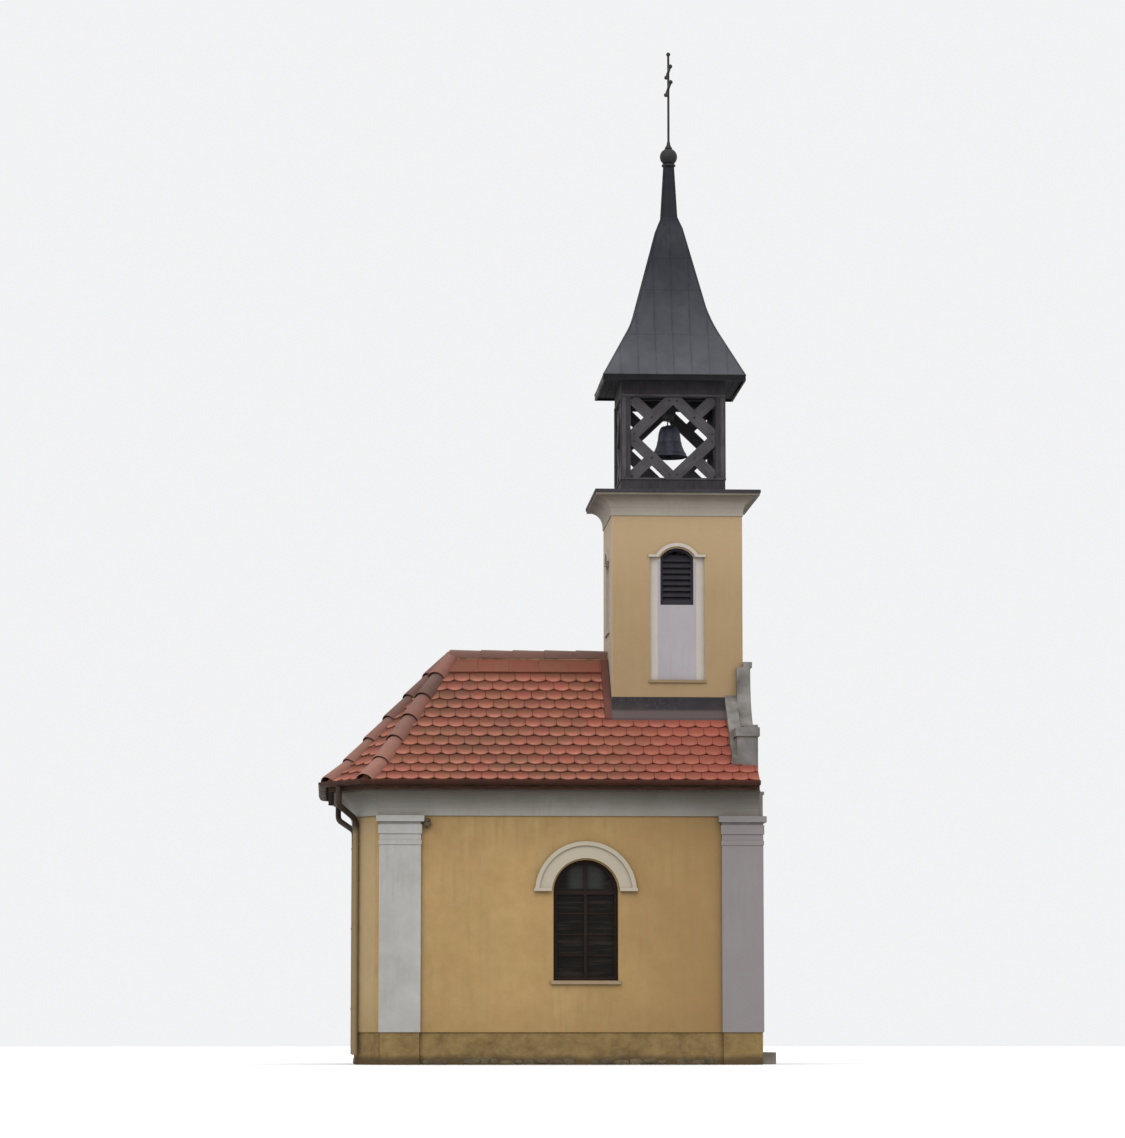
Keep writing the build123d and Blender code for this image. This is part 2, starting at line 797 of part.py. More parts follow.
def make_tower_aprons():
    """Sheet aprons beside the tower, each with its strip behind the tower."""
    slope = main_fall / eave_half
    run = apron_slope_length / hypot(1, slope)
    y0 = -tower_half
    z0 = ridge_height - slope * tower_half
    y1 = y0 - run
    z1 = z0 - slope * run
    points = [
        (y0, z0),
        (y1, z1),
        (y1, z1 + apron_lift),
        (y0 - apron_sheet, z0 - slope * apron_sheet + apron_lift),
        (y0 - apron_sheet, z0 + apron_upstand),
        (y0, z0 + apron_upstand),
    ]
    near = profile_along_x(points, tower_rear, wing_back - shoulder_width)
    top_y = -(cap_radius + apron_strip_gap)
    top_z = ridge_height + slope * top_y
    strip_points = [
        (top_y, top_z),
        (y1, z1),
        (y1, z1 + apron_lift),
        (top_y, top_z + apron_lift),
    ]
    near = near + profile_along_x(strip_points, tower_rear - apron_strip, tower_rear)
    return [near, mirror_y(near)]


def make_tower_arch():
    """Cross wall under the tower's rear wall, open below as a round arch."""
    x0 = tower_rear
    x1 = x0 + arch_thickness
    wall = block(x0, x1, -room_half, room_half, floor_height, wall_height)
    place = Pos(x0, 0, 0) * Rot(0, 0, -90)
    opening = place * round_headed(arch_width, 0, arch_spring_height, -arch_thickness, 2 * arch_thickness)
    return wall - opening


def make_tower_beams():
    """Two beams from the front wall to the cross wall, under the tower's side walls."""
    x0 = tower_rear + arch_thickness
    y1 = -(tower_half - beam_width)
    near = block(x0, front_back, -tower_half, y1, wall_height - beam_height, wall_height)
    return [near, mirror_y(near)]


# Front gable

def make_gable():
    """Parapet with two hollow-curved wings, corner pedestals and a mortar shoulder."""
    steps = 10
    y_top = tower_half + wing_shelf
    y_foot = pedestal_inner
    hollow = [(y_foot - (y_foot - y_top) * cos(pi / 2 * i / steps),
               wing_foot + (wing_top - wing_foot) * (1 - sin(pi / 2 * i / steps)))
              for i in range(steps + 1)]
    side = [(tower_half, wing_top)] + hollow + [(half_width, wing_foot), (half_width, wall_height)]
    points = [(-y, z) for y, z in side] + [(y, z) for y, z in reversed(side)]
    plate = profile_along_x(points, wing_back, body_length)
    plate = plate - block(tower_rear, tower_front, -tower_half, tower_half, 0, 2 * ridge_height)
    pedestal = block(body_length - pedestal_depth, body_length, -half_width, -pedestal_inner,
                     wall_height, pedestal_top)
    cap = block(body_length - pedestal_depth - pedestal_cap_reach, body_length + pedestal_cap_reach,
                -half_width - pedestal_cap_reach, -pedestal_inner + pedestal_cap_reach,
                pedestal_top, pedestal_top + pedestal_cap_height)
    slope = main_fall / eave_half
    shoulder_points = [
        (-tower_half, ridge_height - slope * tower_half),
        (-half_width, ridge_height - slope * half_width),
        (-half_width, ridge_height - slope * half_width + shoulder_rise),
        (-tower_half, ridge_height - slope * tower_half + shoulder_rise),
    ]
    shoulder = profile_along_x(shoulder_points, wing_back - shoulder_width, wing_back)
    for piece in (pedestal, cap, shoulder):
        plate = plate + piece + mirror_y(piece)
    coping = block(tower_front, body_length + coping_reach, -tower_half - wing_shelf,
                   tower_half + wing_shelf, wing_top, wing_top + coping_height)
    return plate + coping


# Openings

def make_window_frame():
    """Wooden frame with mullion and transom, in the wall's local frame."""
    y0 = window_reveal
    y1 = window_reveal + window_bar_depth
    width = window_width - 2 * fit_gap
    outer = round_headed(width, window_sill_height, window_spring_height, y0, y1)
    inner = round_headed(width - 2 * window_bar, window_sill_height + window_bar,
                         window_spring_height, y0 - 1, y1 + 1)
    half = window_mullion / 2
    frame = outer - inner
    top = window_spring_height + width / 2
    mullion = block(-half, half, y0 + window_mullion_setback, y1,
                    window_sill_height + window_bar / 2, top - window_bar / 2)
    transom = block(-width / 2 + window_bar / 2, width / 2 - window_bar / 2, y0 + window_transom_setback, y1,
                    window_spring_height - window_transom / 2, window_spring_height + window_transom / 2)
    return frame + mullion + transom


def make_window_glass():
    """Pane behind the frame, in the wall's local frame."""
    y0 = window_reveal + window_bar_depth
    return round_headed(window_width - 2 * fit_gap, window_sill_height, window_spring_height,
                        y0, y0 + glass_thickness)


def make_sill():
    """Small sloping sill in the foot of the opening, in the wall's local frame."""
    low = window_sill_height
    half = window_width / 2 + sill_reach
    points = [
        (-sill_projection, low - sill_height),
        (-sill_projection, low - sill_top - sill_fall),
        (0, low - sill_top),
        (0, low - sill_height),
    ]
    return profile_along_x(points, -half, half)


def make_hood(opening_width, spring):
    """Arched band over an opening with a raised rim and small feet, facing -Y."""
    inner = opening_width / 2 + hood_gap
    step = inner + hood_fascia
    outer = step + hood_rim
    back = 0.0
    fascia = rod_y(step, 0, spring, -hood_fascia_projection, back)
    rim = rod_y(outer, 0, spring, -hood_rim_projection, back)
    rim = rim - rod_y(step, 0, spring, -hood_rim_projection - 1, back + 1)
    ring = fascia + rim - rod_y(inner, 0, spring, -hood_rim_projection - 1, back + 1)
    low = spring + hood_foot_rise
    ring = ring & block(-outer - 1, outer + 1, -hood_rim_projection - 1, 1, low, spring + outer + 1)
    foot = block(inner, outer + hood_foot_reach, -hood_rim_projection, back, low - hood_foot_height, low)
    return ring + foot + mirror(foot, about=Plane.YZ)


def make_door_frame():
    """Door frame in the front opening, in the front wall's local frame."""
    y0 = door_reveal
    y1 = door_reveal + door_frame_depth
    width = door_width - 2 * fit_gap
    outer = round_headed(width, floor_height, door_spring_height, y0, y1)
    inner = round_headed(width - 2 * door_frame_bar, 0, door_spring_height, y0 - 1, y1 + 1)
    return outer - inner


def make_door_leaves():
    """Two boarded leaves with raised frames, closed, in the front wall's local frame."""
    y0 = door_reveal + door_leaf_setback
    y1 = y0 + door_leaf_thickness
    width = door_width - 2 * fit_gap - 2 * door_frame_bar - 2 * door_rebate
    both = round_headed(width, floor_height + door_floor_gap, door_spring_height, y0, y1)
    left = both & block(-door_width, -door_leaf_gap / 2, y0, y1, 0, tower_height)
    right = both & block(door_leaf_gap / 2, door_width, y0, y1, 0, tower_height)
    return [left, right]


def make_doorstep():
    """Stone step with the threshold behind it."""
    inner = block(front_back, body_length - plinth_setback, -door_width / 2, door_width / 2, 0, floor_height)
    half = door_width / 2 + step_overlap
    outer = block(body_length - plinth_setback, body_length + step_projection, -half, half, 0, floor_height)
    return inner + outer


# Lantern

def four_corners(shape):
    """The same shape turned to the four corners of the lantern."""
    middle = Pos(lantern_x, 0, 0)
    return [middle * Rot(0, 0, 90 * i) * shape for i in range(4)]


def make_lantern_posts():
    """Four corner posts."""
    post = block(lantern_half - post_width, lantern_half, lantern_half - post_width, lantern_half,
                 lattice_bottom, plate_low)
    return four_corners(post)


def make_ring(bottom, top, width):
    """Square ring of timbers flush with the posts."""
    outer = block(-lantern_half, lantern_half, -lantern_half, lantern_half, bottom, top)
    inner = lantern_half - width
    hole = block(-inner, inner, -inner, inner, bottom - 1, top + 1)
    return Pos(lantern_x, 0, 0) * (outer - hole)


def make_lattice():
    """Boards in a diamond and a brace from each corner, facing -Y, centred on the lantern's axis."""
    half = lantern_half - post_width
    rise = (plate_low - lattice_bottom) / 2
    centre_y = -lantern_half + lattice_inset + lattice_thickness / 2
    centre = Pos(0, centre_y, lattice_bottom + rise)
    side = hypot(half, rise) + 2 * lattice_board
    brace = hypot(half, rise) / 2 + lattice_board
    tilt = degrees(atan2(rise, half))
    boards = None
    for turn in (1, -1):
        for up in (1, -1):
            quarter = centre * Pos(turn * half / 2, 0, up * rise / 2)
            board = quarter * Rot(0, turn * up * tilt, 0) * Box(side, lattice_thickness, lattice_board)
            outward = Pos(turn * brace / 2, 0, 0) * Box(brace, lattice_thickness, lattice_board)
            board = board + quarter * Rot(0, -turn * up * tilt, 0) * outward
            boards = board if boards is None else boards + board
    return boards & centre * Box(2 * half, lattice_thickness, 2 * rise)


def lattice_places():
    """Turns that set the lattice on each side."""
    return {"near": 0, "front": 90, "far": 180, "rear": 270}


# Spire, ball and cross

def spire_outline(inset):
    """Half outline (distance from the axis, height) of the spire, moved inwards."""
    steps = 5
    bend = []
    for i in range(1, steps):
        t = i / steps
        corner_half = spire_bend_low_half + (spire_bend_half - spire_bend_low_half) * spire_bend_pull_in
        corner_z = spire_bend_low + (spire_bend_high - spire_bend_low) * spire_bend_pull_up
        half = ((1 - t) ** 2 * spire_bend_low_half + 2 * t * (1 - t) * corner_half
                + t ** 2 * spire_bend_half)
        z = (1 - t) ** 2 * spire_bend_low + 2 * t * (1 - t) * corner_z + t ** 2 * spire_bend_high
        bend.append((half, z))
    points = [(spire_eave_half, lantern_top + spire_eave_edge), (spire_bend_low_half, spire_bend_low)]
    points = points + bend + [(spire_bend_half, spire_bend_high), (spire_shoulder_half, spire_shoulder),
                              (spire_neck_half, spire_neck_start), (spire_neck_top_half, spire_top)]
    return [(half - inset, z) for half, z in points]


def square_tower(points, bottom):
    """Solid of square plan whose half width follows the outline, standing on bottom."""
    outline_points = [(points[0][0], bottom)] + points
    right = [(x, z) for x, z in outline_points]
    left = [(-x, z) for x, z in reversed(outline_points)]
    reach = points[0][0] + 10
    one = profile_along_y(right + left, -reach, reach)
    two = profile_along_x(right + left, -reach, reach)
    return one & two


def make_spire():
    """Hollow flared spire of boards and sheet, with its solid neck and the fascia of its eave."""
    foot = lantern_top + soffit_thickness
    outer = square_tower(spire_outline(0), foot)
    hollow_points = [p for p in spire_outline(spire_shell) if p[1] <= spire_shoulder]
    hollow = square_tower(hollow_points, foot - 1)
    half = spire_eave_half
    inner = half - spire_fascia
    low = lantern_top + spire_eave_edge - spire_fascia_height
    fascia = block(-half, half, -half, half, low, foot) - block(-inner, inner, -inner, inner, low - 1, foot + 1)
    return Pos(lantern_x, 0, 0) * (outer - hollow + fascia)


def make_soffit():
    """Boarded soffit that closes the spire's foot."""
    half = spire_eave_half - spire_fascia - soffit_gap
    return block(lantern_x - half, lantern_x + half, -half, half, lantern_top, lantern_top + soffit_thickness)


def ball_height():
    """Centre of the ball on the neck."""
    return spire_top + ball_radius - ball_seat


def make_ball():
    """Ball with a collar, on the spire's neck."""
    sphere = Pos(lantern_x, 0, ball_height()) * Sphere(ball_radius)
    reach = ball_radius
    seat = block(lantern_x - reach, lantern_x + reach, -reach, reach, spire_top - reach, spire_top)
    top = block(lantern_x - reach, lantern_x + reach, -reach, reach, cross_base(), cross_base() + reach)
    return sphere - seat - top


def cross_base():
    """Flat on top of the ball where the cross stands."""
    return ball_height() + sqrt(ball_radius ** 2 - cross_rod ** 2)


def make_cross():
    """Double-barred cross, its bars along Y, with round tips."""
    base = cross_base()
    half = cross_rod / 2
    top = base + cross_height
    rod = block(lantern_x - half, lantern_x + half, -half, half, base, top)
    for length, rise in ((cross_low_bar, cross_low_rise), (cross_high_bar, cross_high_rise)):
        height = base + rise
        rod = rod + block(lantern_x - half, lantern_x + half, -length / 2, length / 2,
                          height - half, height + half)
        for end in (-length / 2, length / 2):
            rod = rod + Pos(lantern_x, end, height) * Sphere(cross_tip_radius)
    return rod + Pos(lantern_x, 0, top) * Sphere(cross_tip_radius)


# Bell and its gear

def bell_shoulder():
    """Height of the bell's crown."""
    return bell_lip_height + bell_height


def make_bell():
    """Bell turned from one profile, with a crown boss for its hangers."""
    lip = bell_lip_height
    top = bell_shoulder()
    ceiling = top - bell_crown
    r = bell_mouth_radius
    edge = (r, lip + bell_lip_rise)
    shoulder = (r * bell_shoulder_share, top - bell_shoulder_drop)
    rim = (r * bell_top_share, top)
    inner_lip = (r - 2 * bell_wall, lip)
    inner_top = (r * bell_inner_share, ceiling)
    outside = [(r * share, lip + bell_height * rise) for share, rise in bell_outside]
    inside = [(r * share - bell_wall, lip + bell_height * rise) for share, rise in bell_outside]
    edges = [
        Spline([edge] + outside + [shoulder]),
        Line(shoulder, rim),
        Line(rim, (0, top)),
        Line((0, top), (0, ceiling)),
        Line((0, ceiling), inner_top),
        Spline([inner_lip] + inside + [inner_top]),
        Line(inner_lip, edge),
    ]
    face = Plane.XZ * Face(Wire(edges))
    body = revolve(face, axis=Axis.Z)
    boss = rod_z(hanger_spacing, 0, 0, top, top + boss_height)
    return Pos(lantern_x, 0, 0) * (body + boss)


def make_headstock():
    """Timber headstock with steel gudgeons and the straps that carry the bell."""
    low = bell_axis_height - headstock_height / 2
    high = bell_axis_height + headstock_height / 2
    half = headstock_length / 2
    beam = block(lantern_x - headstock_width / 2, lantern_x + headstock_width / 2, -half, half, low, high)
    reach = half + bearing_gap + bearing_thickness
    for y0, y1 in ((-reach, -half), (half, reach)):
        beam = beam + rod_y(gudgeon_radius, lantern_x, bell_axis_height, y0, y1)
    foot = bell_shoulder() + boss_height
    for x in (-hanger_spacing / 2, hanger_spacing / 2):
        for y in (-hanger_spacing / 2, hanger_spacing / 2):
            beam = beam + rod_z(hanger_radius / 2, lantern_x + x, y, foot, low)
    return beam


def make_clapper():
    """Clapper hung inside the bell."""
    top = bell_shoulder() - bell_crown
    ball_z = bell_lip_height + clapper_rise
    rod = rod_z(clapper_rod_radius, lantern_x, 0, ball_z, top)
    tail = rod_z(clapper_rod_radius * clapper_tail_share, lantern_x, 0, ball_z - clapper_tail, ball_z)
    return rod + tail + Pos(lantern_x, 0, ball_z) * Sphere(clapper_ball_radius)


def make_bell_frame():
    """Two beams between the top timbers, with the bearings hung below them."""
    half = lantern_half - post_width
    y0 = headstock_length / 2 + bearing_gap
    y1 = y0 + bearing_thickness
    centre = (y0 + y1) / 2
    low = plate_low
    beam = block(lantern_x - half, lantern_x + half, centre - bell_beam_width / 2,
                 centre + bell_beam_width / 2, low, low + bell_beam_height)
    bearing = block(lantern_x - bearing_width / 2, lantern_x + bearing_width / 2, y0, y1,
                    bell_axis_height - bearing_width / 2, low)
    bearing = bearing - rod_y(gudgeon_radius + gudgeon_gap, lantern_x, bell_axis_height, y0 - 1, y1 + 1)
    frame = beam + bearing
    return [frame, mirror_y(frame)]


# All nodes

def build_nodes():
    """Every piece of the chapel by name."""
    near_wall = make_near_wall()
    roof_near = make_roof_near()
    roof_apse = [make_roof_apse(index) for index in (1, 2, 3)]
    ridge_cap, hip_caps = make_caps([roof_near, mirror_y(roof_near)] + roof_apse)
    near_pilasters = make_near_pilasters()
    cornice = split_at_cant(make_eaves_cornice())
    gutters = split_at_cant(make_gutters())
    window_near = near_wall_place(window_x)
    window_far = far_wall_place(window_x)
    hood = make_hood(window_width, window_spring_height)
    nodes = {
        "plinth": make_plinth(),
        "floor": make_floor(),
        "near_wall": near_wall,
        "far_wall": mirror_y(near_wall),
        "apse_wall": make_apse_wall(),
        "front_wall": make_front_wall(),
        "near_pilasters": near_pilasters,
        "far_pilasters": [mirror_y(pilaster) for pilaster in near_pilasters],
        "front_band": make_front_band(),
        "side_cornices": [cornice[0], cornice[1]],
        "apse_cornice": cornice[2],
        "side_gutters": [gutters[0], gutters[1]],
        "apse_gutter": gutters[2],
        "downpipes": make_downpipes(),
        "roof_near": roof_near,
        "roof_far": mirror_y(roof_near),
        "roof_apse_near": roof_apse[0],
        "roof_apse_end": roof_apse[1],
        "roof_apse_far": roof_apse[2],
        "wall_plates": make_wall_plates(),
        "ridge_cap": ridge_cap,
        "hip_caps": hip_caps,
        "tower_arch": make_tower_arch(),
        "tower_beams": make_tower_beams(),
        "tower_cornice": make_tower_cornice(),
        "tower_deck": make_tower_deck(),
        "tower_aprons": make_tower_aprons(),
        "tower_louvres": [place * make_louvre() for place in tower_places().values()],
        "front_gable": make_gable(),
        "window_frames": [window_near * make_window_frame(), window_far * make_window_frame()],
        "window_glass": [window_near * make_window_glass(), window_far * make_window_glass()],
        "window_sills": [window_near * make_sill(), window_far * make_sill()],
        "window_hoods": [window_near * hood, window_far * hood],
        "door_hood": front_place() * make_hood(door_width, door_spring_height),
        "door_frame": front_place() * make_door_frame(),
        "door_leaves": [front_place() * leaf for leaf in make_door_leaves()],
        "doorstep": make_doorstep(),
        "lantern_sill": make_ring(lantern_base, lattice_bottom, post_width),
        "lantern_posts": make_lantern_posts(),
        "lantern_plate": make_ring(plate_low, lantern_top, post_width),
        "spire": make_spire(),
        "spire_soffit": make_soffit(),
        "spire_ball": make_ball(),
        "cross": make_cross(),
        "bell": make_bell(),
        "headstock": make_headstock(),
        "clapper": make_clapper(),
        "bell_frame": make_bell_frame(),
    }
    nodes.update(make_tower_walls())
    lattice = make_lattice()
    for side, turn in lattice_places().items():
        nodes["lattice_" + side] = Pos(lantern_x, 0, 0) * Rot(0, 0, turn) * lattice
    return nodes


def as_solids(shape):
    """Flat list of a node's solids."""
    if isinstance(shape, list):
        return [solid for item in shape for solid in as_solids(item)]
    return list(shape.solids())


nodes = build_nodes()
solids = {name: as_solids(shape) for name, shape in nodes.items()}
whole = Compound([solid for group in solids.values() for solid in group]).bounding_box()
shift = Pos(-(whole.min.X + whole.max.X) / 2, -(whole.min.Y + whole.max.Y) / 2, -whole.min.Z)

os.makedirs("parts", exist_ok=True)
for name, group in solids.items():
    moved = [shift * solid for solid in group]
    piece = moved[0] if len(moved) == 1 else Compound(moved)
    export_step(piece, "parts/" + name + ".step")
print("shift", shift.position, "box", whole)
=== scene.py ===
import json
import random
from math import cos, hypot, pi, radians, sin, sqrt

import bmesh
import bpy
from mathutils import Matrix, Vector


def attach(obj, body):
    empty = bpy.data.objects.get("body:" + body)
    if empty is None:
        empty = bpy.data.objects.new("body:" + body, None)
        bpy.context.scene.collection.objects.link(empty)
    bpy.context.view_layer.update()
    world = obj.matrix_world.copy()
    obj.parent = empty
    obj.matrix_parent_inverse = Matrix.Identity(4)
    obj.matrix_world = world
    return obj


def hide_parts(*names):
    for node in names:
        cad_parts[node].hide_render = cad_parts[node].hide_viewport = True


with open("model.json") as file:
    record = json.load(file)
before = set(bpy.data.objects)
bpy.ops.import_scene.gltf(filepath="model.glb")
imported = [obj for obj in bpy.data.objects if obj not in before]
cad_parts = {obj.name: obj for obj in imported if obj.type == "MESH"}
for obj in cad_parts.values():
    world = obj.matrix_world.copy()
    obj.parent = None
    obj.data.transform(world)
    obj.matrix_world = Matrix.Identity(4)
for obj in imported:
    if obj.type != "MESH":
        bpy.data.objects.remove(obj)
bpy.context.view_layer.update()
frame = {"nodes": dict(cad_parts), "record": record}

# A small plastered chapel: dressing of its solids. Metres, in the frame of the CAD model.
# +X towards the front wall with the door, -Y is the near side, +Z up.

seed = 8508
upright = Vector((0.0, 0.0, 1.0))

# Roof
ridge_z = 5.262
eave_z = 3.505
kick_share = 0.14             # share of the run below the knee, where the foot kicks out
kick_pitch = 0.75             # pitch of the kick against the main slope
main_fall = (ridge_z - eave_z) / (1 - kick_share + kick_share * kick_pitch)
knee_z = ridge_z - (1 - kick_share) * main_fall
crown_x = -1.202              # where the hips meet the ridge
eave_corner = (-2.3324, 2.212)
end_corner = (-2.789, 1.527)
past_eave = 0.05              # reach of the tiled outlines past the eave
verge_x = 2.578
strip_x = 0.716               # tiles end at the sheet strip behind the tower
shoulder_x = 2.268            # and beside the gable's pedestals
shoulder_y = 1.879
apron_foot_y = 1.129
tile_pitch = 0.196
tile_gap = 0.004
tile_thickness = 0.015
tile_lap = 0.030
tile_tip_lift = 0.036         # top of a tile's tip above the slab
tile_fall = 0.080             # fall of the top towards the slab, for each metre upwards
tile_tip_rise = 0.045         # depth of the rounded tip
tile_chamfer = 0.004
course_count = 12
course_gauge = 0.2007
eave_lap = 0.018              # tips of the lowest course past the slab
band_lift = 0.044             # plain tiles of the top course
band_thickness = 0.020
ridge_drop = 0.045            # axis of ridge and hip tiles below the slabs' edges
half_round_sheet = 0.015
half_round_arc = 178
ridge_rounds = (5, 0.115, 0.107)    # half-round tiles on the ridge: count, low and high radius
hip_rounds = (6, 0.128, 0.108)      # and on each hip

# Tower
tower_x = 1.663
tower_half = 0.840
tower_rear = 0.823
deck_half = 1.057

# Lantern and spire
lantern_x = 1.633
lantern_half = 0.672
lantern_base = 7.322
lattice_low = 7.515
lattice_high = 8.569
lattice_half = 0.552
lattice_face = 0.020          # outer face of the boards behind the posts' faces
board_width = 0.144
board_thickness = 0.038
spire_outline = ((0.920, 8.818), (0.618, 9.380), (0.577, 9.4575), (0.540, 9.5361), (0.505, 9.6169),
                 (0.473, 9.7006), (0.444, 9.787), (0.164, 10.878), (0.098, 11.042), (0.058, 11.755))

# Bell
gudgeon_z = 8.454
headstock_half = 0.0625


# Tints, from the 0 to 255 values of a screen

def tint(red, green, blue):
    """Linear colour of a screen colour."""
    shares = [value / 255 for value in (red, green, blue)]
    linear = [share / 12.92 if share <= 0.04045 else ((share + 0.055) / 1.055) ** 2.4 for share in shares]
    return (*linear, 1.0)


# Forms and pieces

class Form:
    """Points and faces of one piece, with three numbers marked on every point."""

    def __init__(self):
        self.points = []
        self.faces = []
        self.marks = []

    def rings(self, rings, marks=None):
        """A closed skin over rings of as many points each, with both ends shut."""
        count = len(rings[0])
        start = len(self.points)
        for ring in rings:
            self.points.extend(tuple(point) for point in ring)
        for level in range(len(rings) - 1):
            low = start + level * count
            for i in range(count):
                j = (i + 1) % count
                self.faces.append((low + i, low + j, low + count + j, low + count + i))
        last = start + (len(rings) - 1) * count
        self.faces.append(tuple(range(start + count - 1, start - 1, -1)))
        self.faces.append(tuple(range(last, last + count)))
        self.marks.extend(marks or [(0.0, 0.0, 0.0)] * (count * len(rings)))


def make_piece(name, form, finish, body="chapel", bevel=0.0, smooth=0.0, stands_for=()):
    """The piece of that form, riding on its body."""
    mesh = bpy.data.meshes.new(name)
    mesh.from_pydata(form.points, [], form.faces)
    marks = mesh.attributes.new("mark", "FLOAT_VECTOR", "POINT")
    marks.data.foreach_set("vector", [number for mark in form.marks for number in mark])
    work = bmesh.new()
    work.from_mesh(mesh)
    bmesh.ops.recalc_face_normals(work, faces=work.faces)
    work.to_mesh(mesh)
    work.free()
    mesh.materials.append(finishes[finish])
    if smooth:
        mesh.shade_smooth()
        mesh.set_sharp_from_angle(angle=radians(smooth))
    piece = bpy.data.objects.new(name, mesh)
    bpy.context.scene.collection.objects.link(piece)
    if bevel:
        rounding = piece.modifiers.new("rounded edges", "BEVEL")
        rounding.width = bevel
        rounding.segments = 2
        rounding.limit_method = "ANGLE"
    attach(piece, body)
    if stands_for:
        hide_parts(*stands_for)


def turns(count):
    """Angles evenly round a circle."""
    return [2 * pi * k / count for k in range(count)]


def circle(centre, side, other, radius, count):
    """Points round a centre, in the plane of two directions."""
    return [centre + side * (radius * cos(t)) + other * (radius * sin(t)) for t in turns(count)]


def spun(quarter, x, y, z, centre_x=lantern_x):
    """A place given from an upright axis for the near side, turned round that axis by quarters."""
    return Matrix.Rotation(quarter * pi / 2, 4, "Z") @ Vector((x, y, z)) + Vector((centre_x, 0.0, 0.0))


def add_board(form, start, end, across, width, thickness):
    """A board from start to end, as wide along across, and as thick square to both."""
    start, end, across = Vector(start), Vector(end), Vector(across).normalized()
    square = (end - start).normalized().cross(across).normalized() * (thickness / 2)
    side = across * (width / 2)
    form.rings([[p - side - square, p + side - square, p + side + square, p - side + square]
                for p in (start, end)])


def add_bar(form, points, radius, sides):
    """A round bar along points."""
    points = [Vector(point) for point in points]
    rings, side = [], None
    for i, point in enumerate(points):
        run = (points[min(i + 1, len(points) - 1)] - points[max(i - 1, 0)]).normalized()
        if side is None:
            side = run.orthogonal().normalized()
        side = (side - run * side.dot(run)).normalized()
        rings.append(circle(point, side, run.cross(side), radius, sides))
    form.rings(rings)


def add_dome(form, centre, axis, radius, height):
    """A round head, such as a bolt's or a rivet's, standing on a face."""
    centre, axis = Vector(centre), Vector(axis).normalized()
    side = axis.orthogonal().normalized()
    other = axis.cross(side)
    sides, steps = 12, 4
    form.rings([circle(centre + axis * (height * sin(t)), side, other, radius * cos(t), sides)
                for t in (pi / 2 * step / steps for step in range(steps))])


def add_turned(form, x, y, profile, sides):
    """A turned form on an upright axis, over rows of radius and height."""
    form.rings([[(x + r * cos(t), y + r * sin(t), z) for t in turns(sides)] for r, z in profile])


# Shader nodes

effects = {}
finishes = {}


class Nodes:
    """The nodes of one shader tree."""

    def __init__(self, tree):
        self.tree = tree

    def feed(self, inlet, value):
        """Links an inlet to an outlet, or sets it to a plain value."""
        if isinstance(value, bpy.types.NodeSocket):
            self.tree.links.new(value, inlet)
        else:
            inlet.default_value = value

    def put(self, kind, values=None, **settings):
        """Outlets of a new node, with its settings made and its inlets fed."""
        node = self.tree.nodes.new("ShaderNode" + kind)
        for name, value in settings.items():
            setattr(node, name, value)
        for key, value in (values or {}).items():
            self.feed(node.inputs[key], value)
        return node.outputs

    def mixed(self, share, first, second):
        """First colour going over to the second by share. Plain colours are a screen's values."""
        first, second = (tint(*value) if isinstance(value, tuple) else value for value in (first, second))
        return self.put("Mix", {0: share, 6: first, 7: second}, data_type="RGBA")[2]

    def reckon(self, kind, first, second=0.0):
        """Result of one sum."""
        return self.put("Math", {0: first, 1: second}, operation=kind)[0]

    def times(self, value, *others):
        """Product of all the values."""
        for other in others:
            value = self.reckon("MULTIPLY", value, other)
        return value

    def span(self, value, low, high, start=0.0, end=1.0):
        """Value between low and high, carried over to start and end, and held there."""
        values = {"Value": value, "From Min": low, "From Max": high, "To Min": start, "To Max": end}
        return self.put("MapRange", values)["Result"]

    def parts(self, vector):
        """X, Y and Z of a vector."""
        return self.put("SeparateXYZ", {0: vector})

    def scaled(self, vector, x, y, z):
        """A vector scaled along each axis."""
        scale = self.put("CombineXYZ", {"X": x, "Y": y, "Z": z})[0]
        return self.put("VectorMath", {0: vector, 1: scale}, operation="MULTIPLY")[0]

    def place(self):
        """Place on the part, in metres."""
        return self.put("TexCoord")["Object"]

    def marked(self):
        """The three numbers marked on the points of a piece."""
        return self.put("Attribute", attribute_name="mark")["Vector"]

    def facing(self, axis):
        """How far the surface faces along an axis."""
        return self.parts(self.put("NewGeometry")["Normal"])[axis]

    def band(self, axis, low, high, start=0.0, end=1.0):
        """Start before low on an axis, end past high."""
        return self.span(self.parts(self.place())[axis], low, high, start, end)

    def noise(self, scale, detail=3.0, roughness=0.55, place=None):
        """Soft noise from 0 to 1."""
        place = self.place() if place is None else place
        values = {"Vector": place, "Scale": scale, "Detail": detail, "Roughness": roughness}
        return self.put("TexNoise", values)[0]

    def ragged(self, axis, scale, sway, detail=3.0):
        """Place on an axis, made uneven by noise."""
        shift = self.times(self.noise(scale, detail), sway)
        return self.reckon("ADD", self.parts(self.place())[axis], shift)

    def effect(self, name, *values):
        """Outlets of an effect, with its inlets set in their order."""
        return self.put("Group", dict(enumerate(values)), node_tree=effects[name])

    def patches(self, size, softness, first, second):
        """Two tints in soft patches."""
        return self.effect("mottle", size, softness, tint(*first), tint(*second))["Colour"]


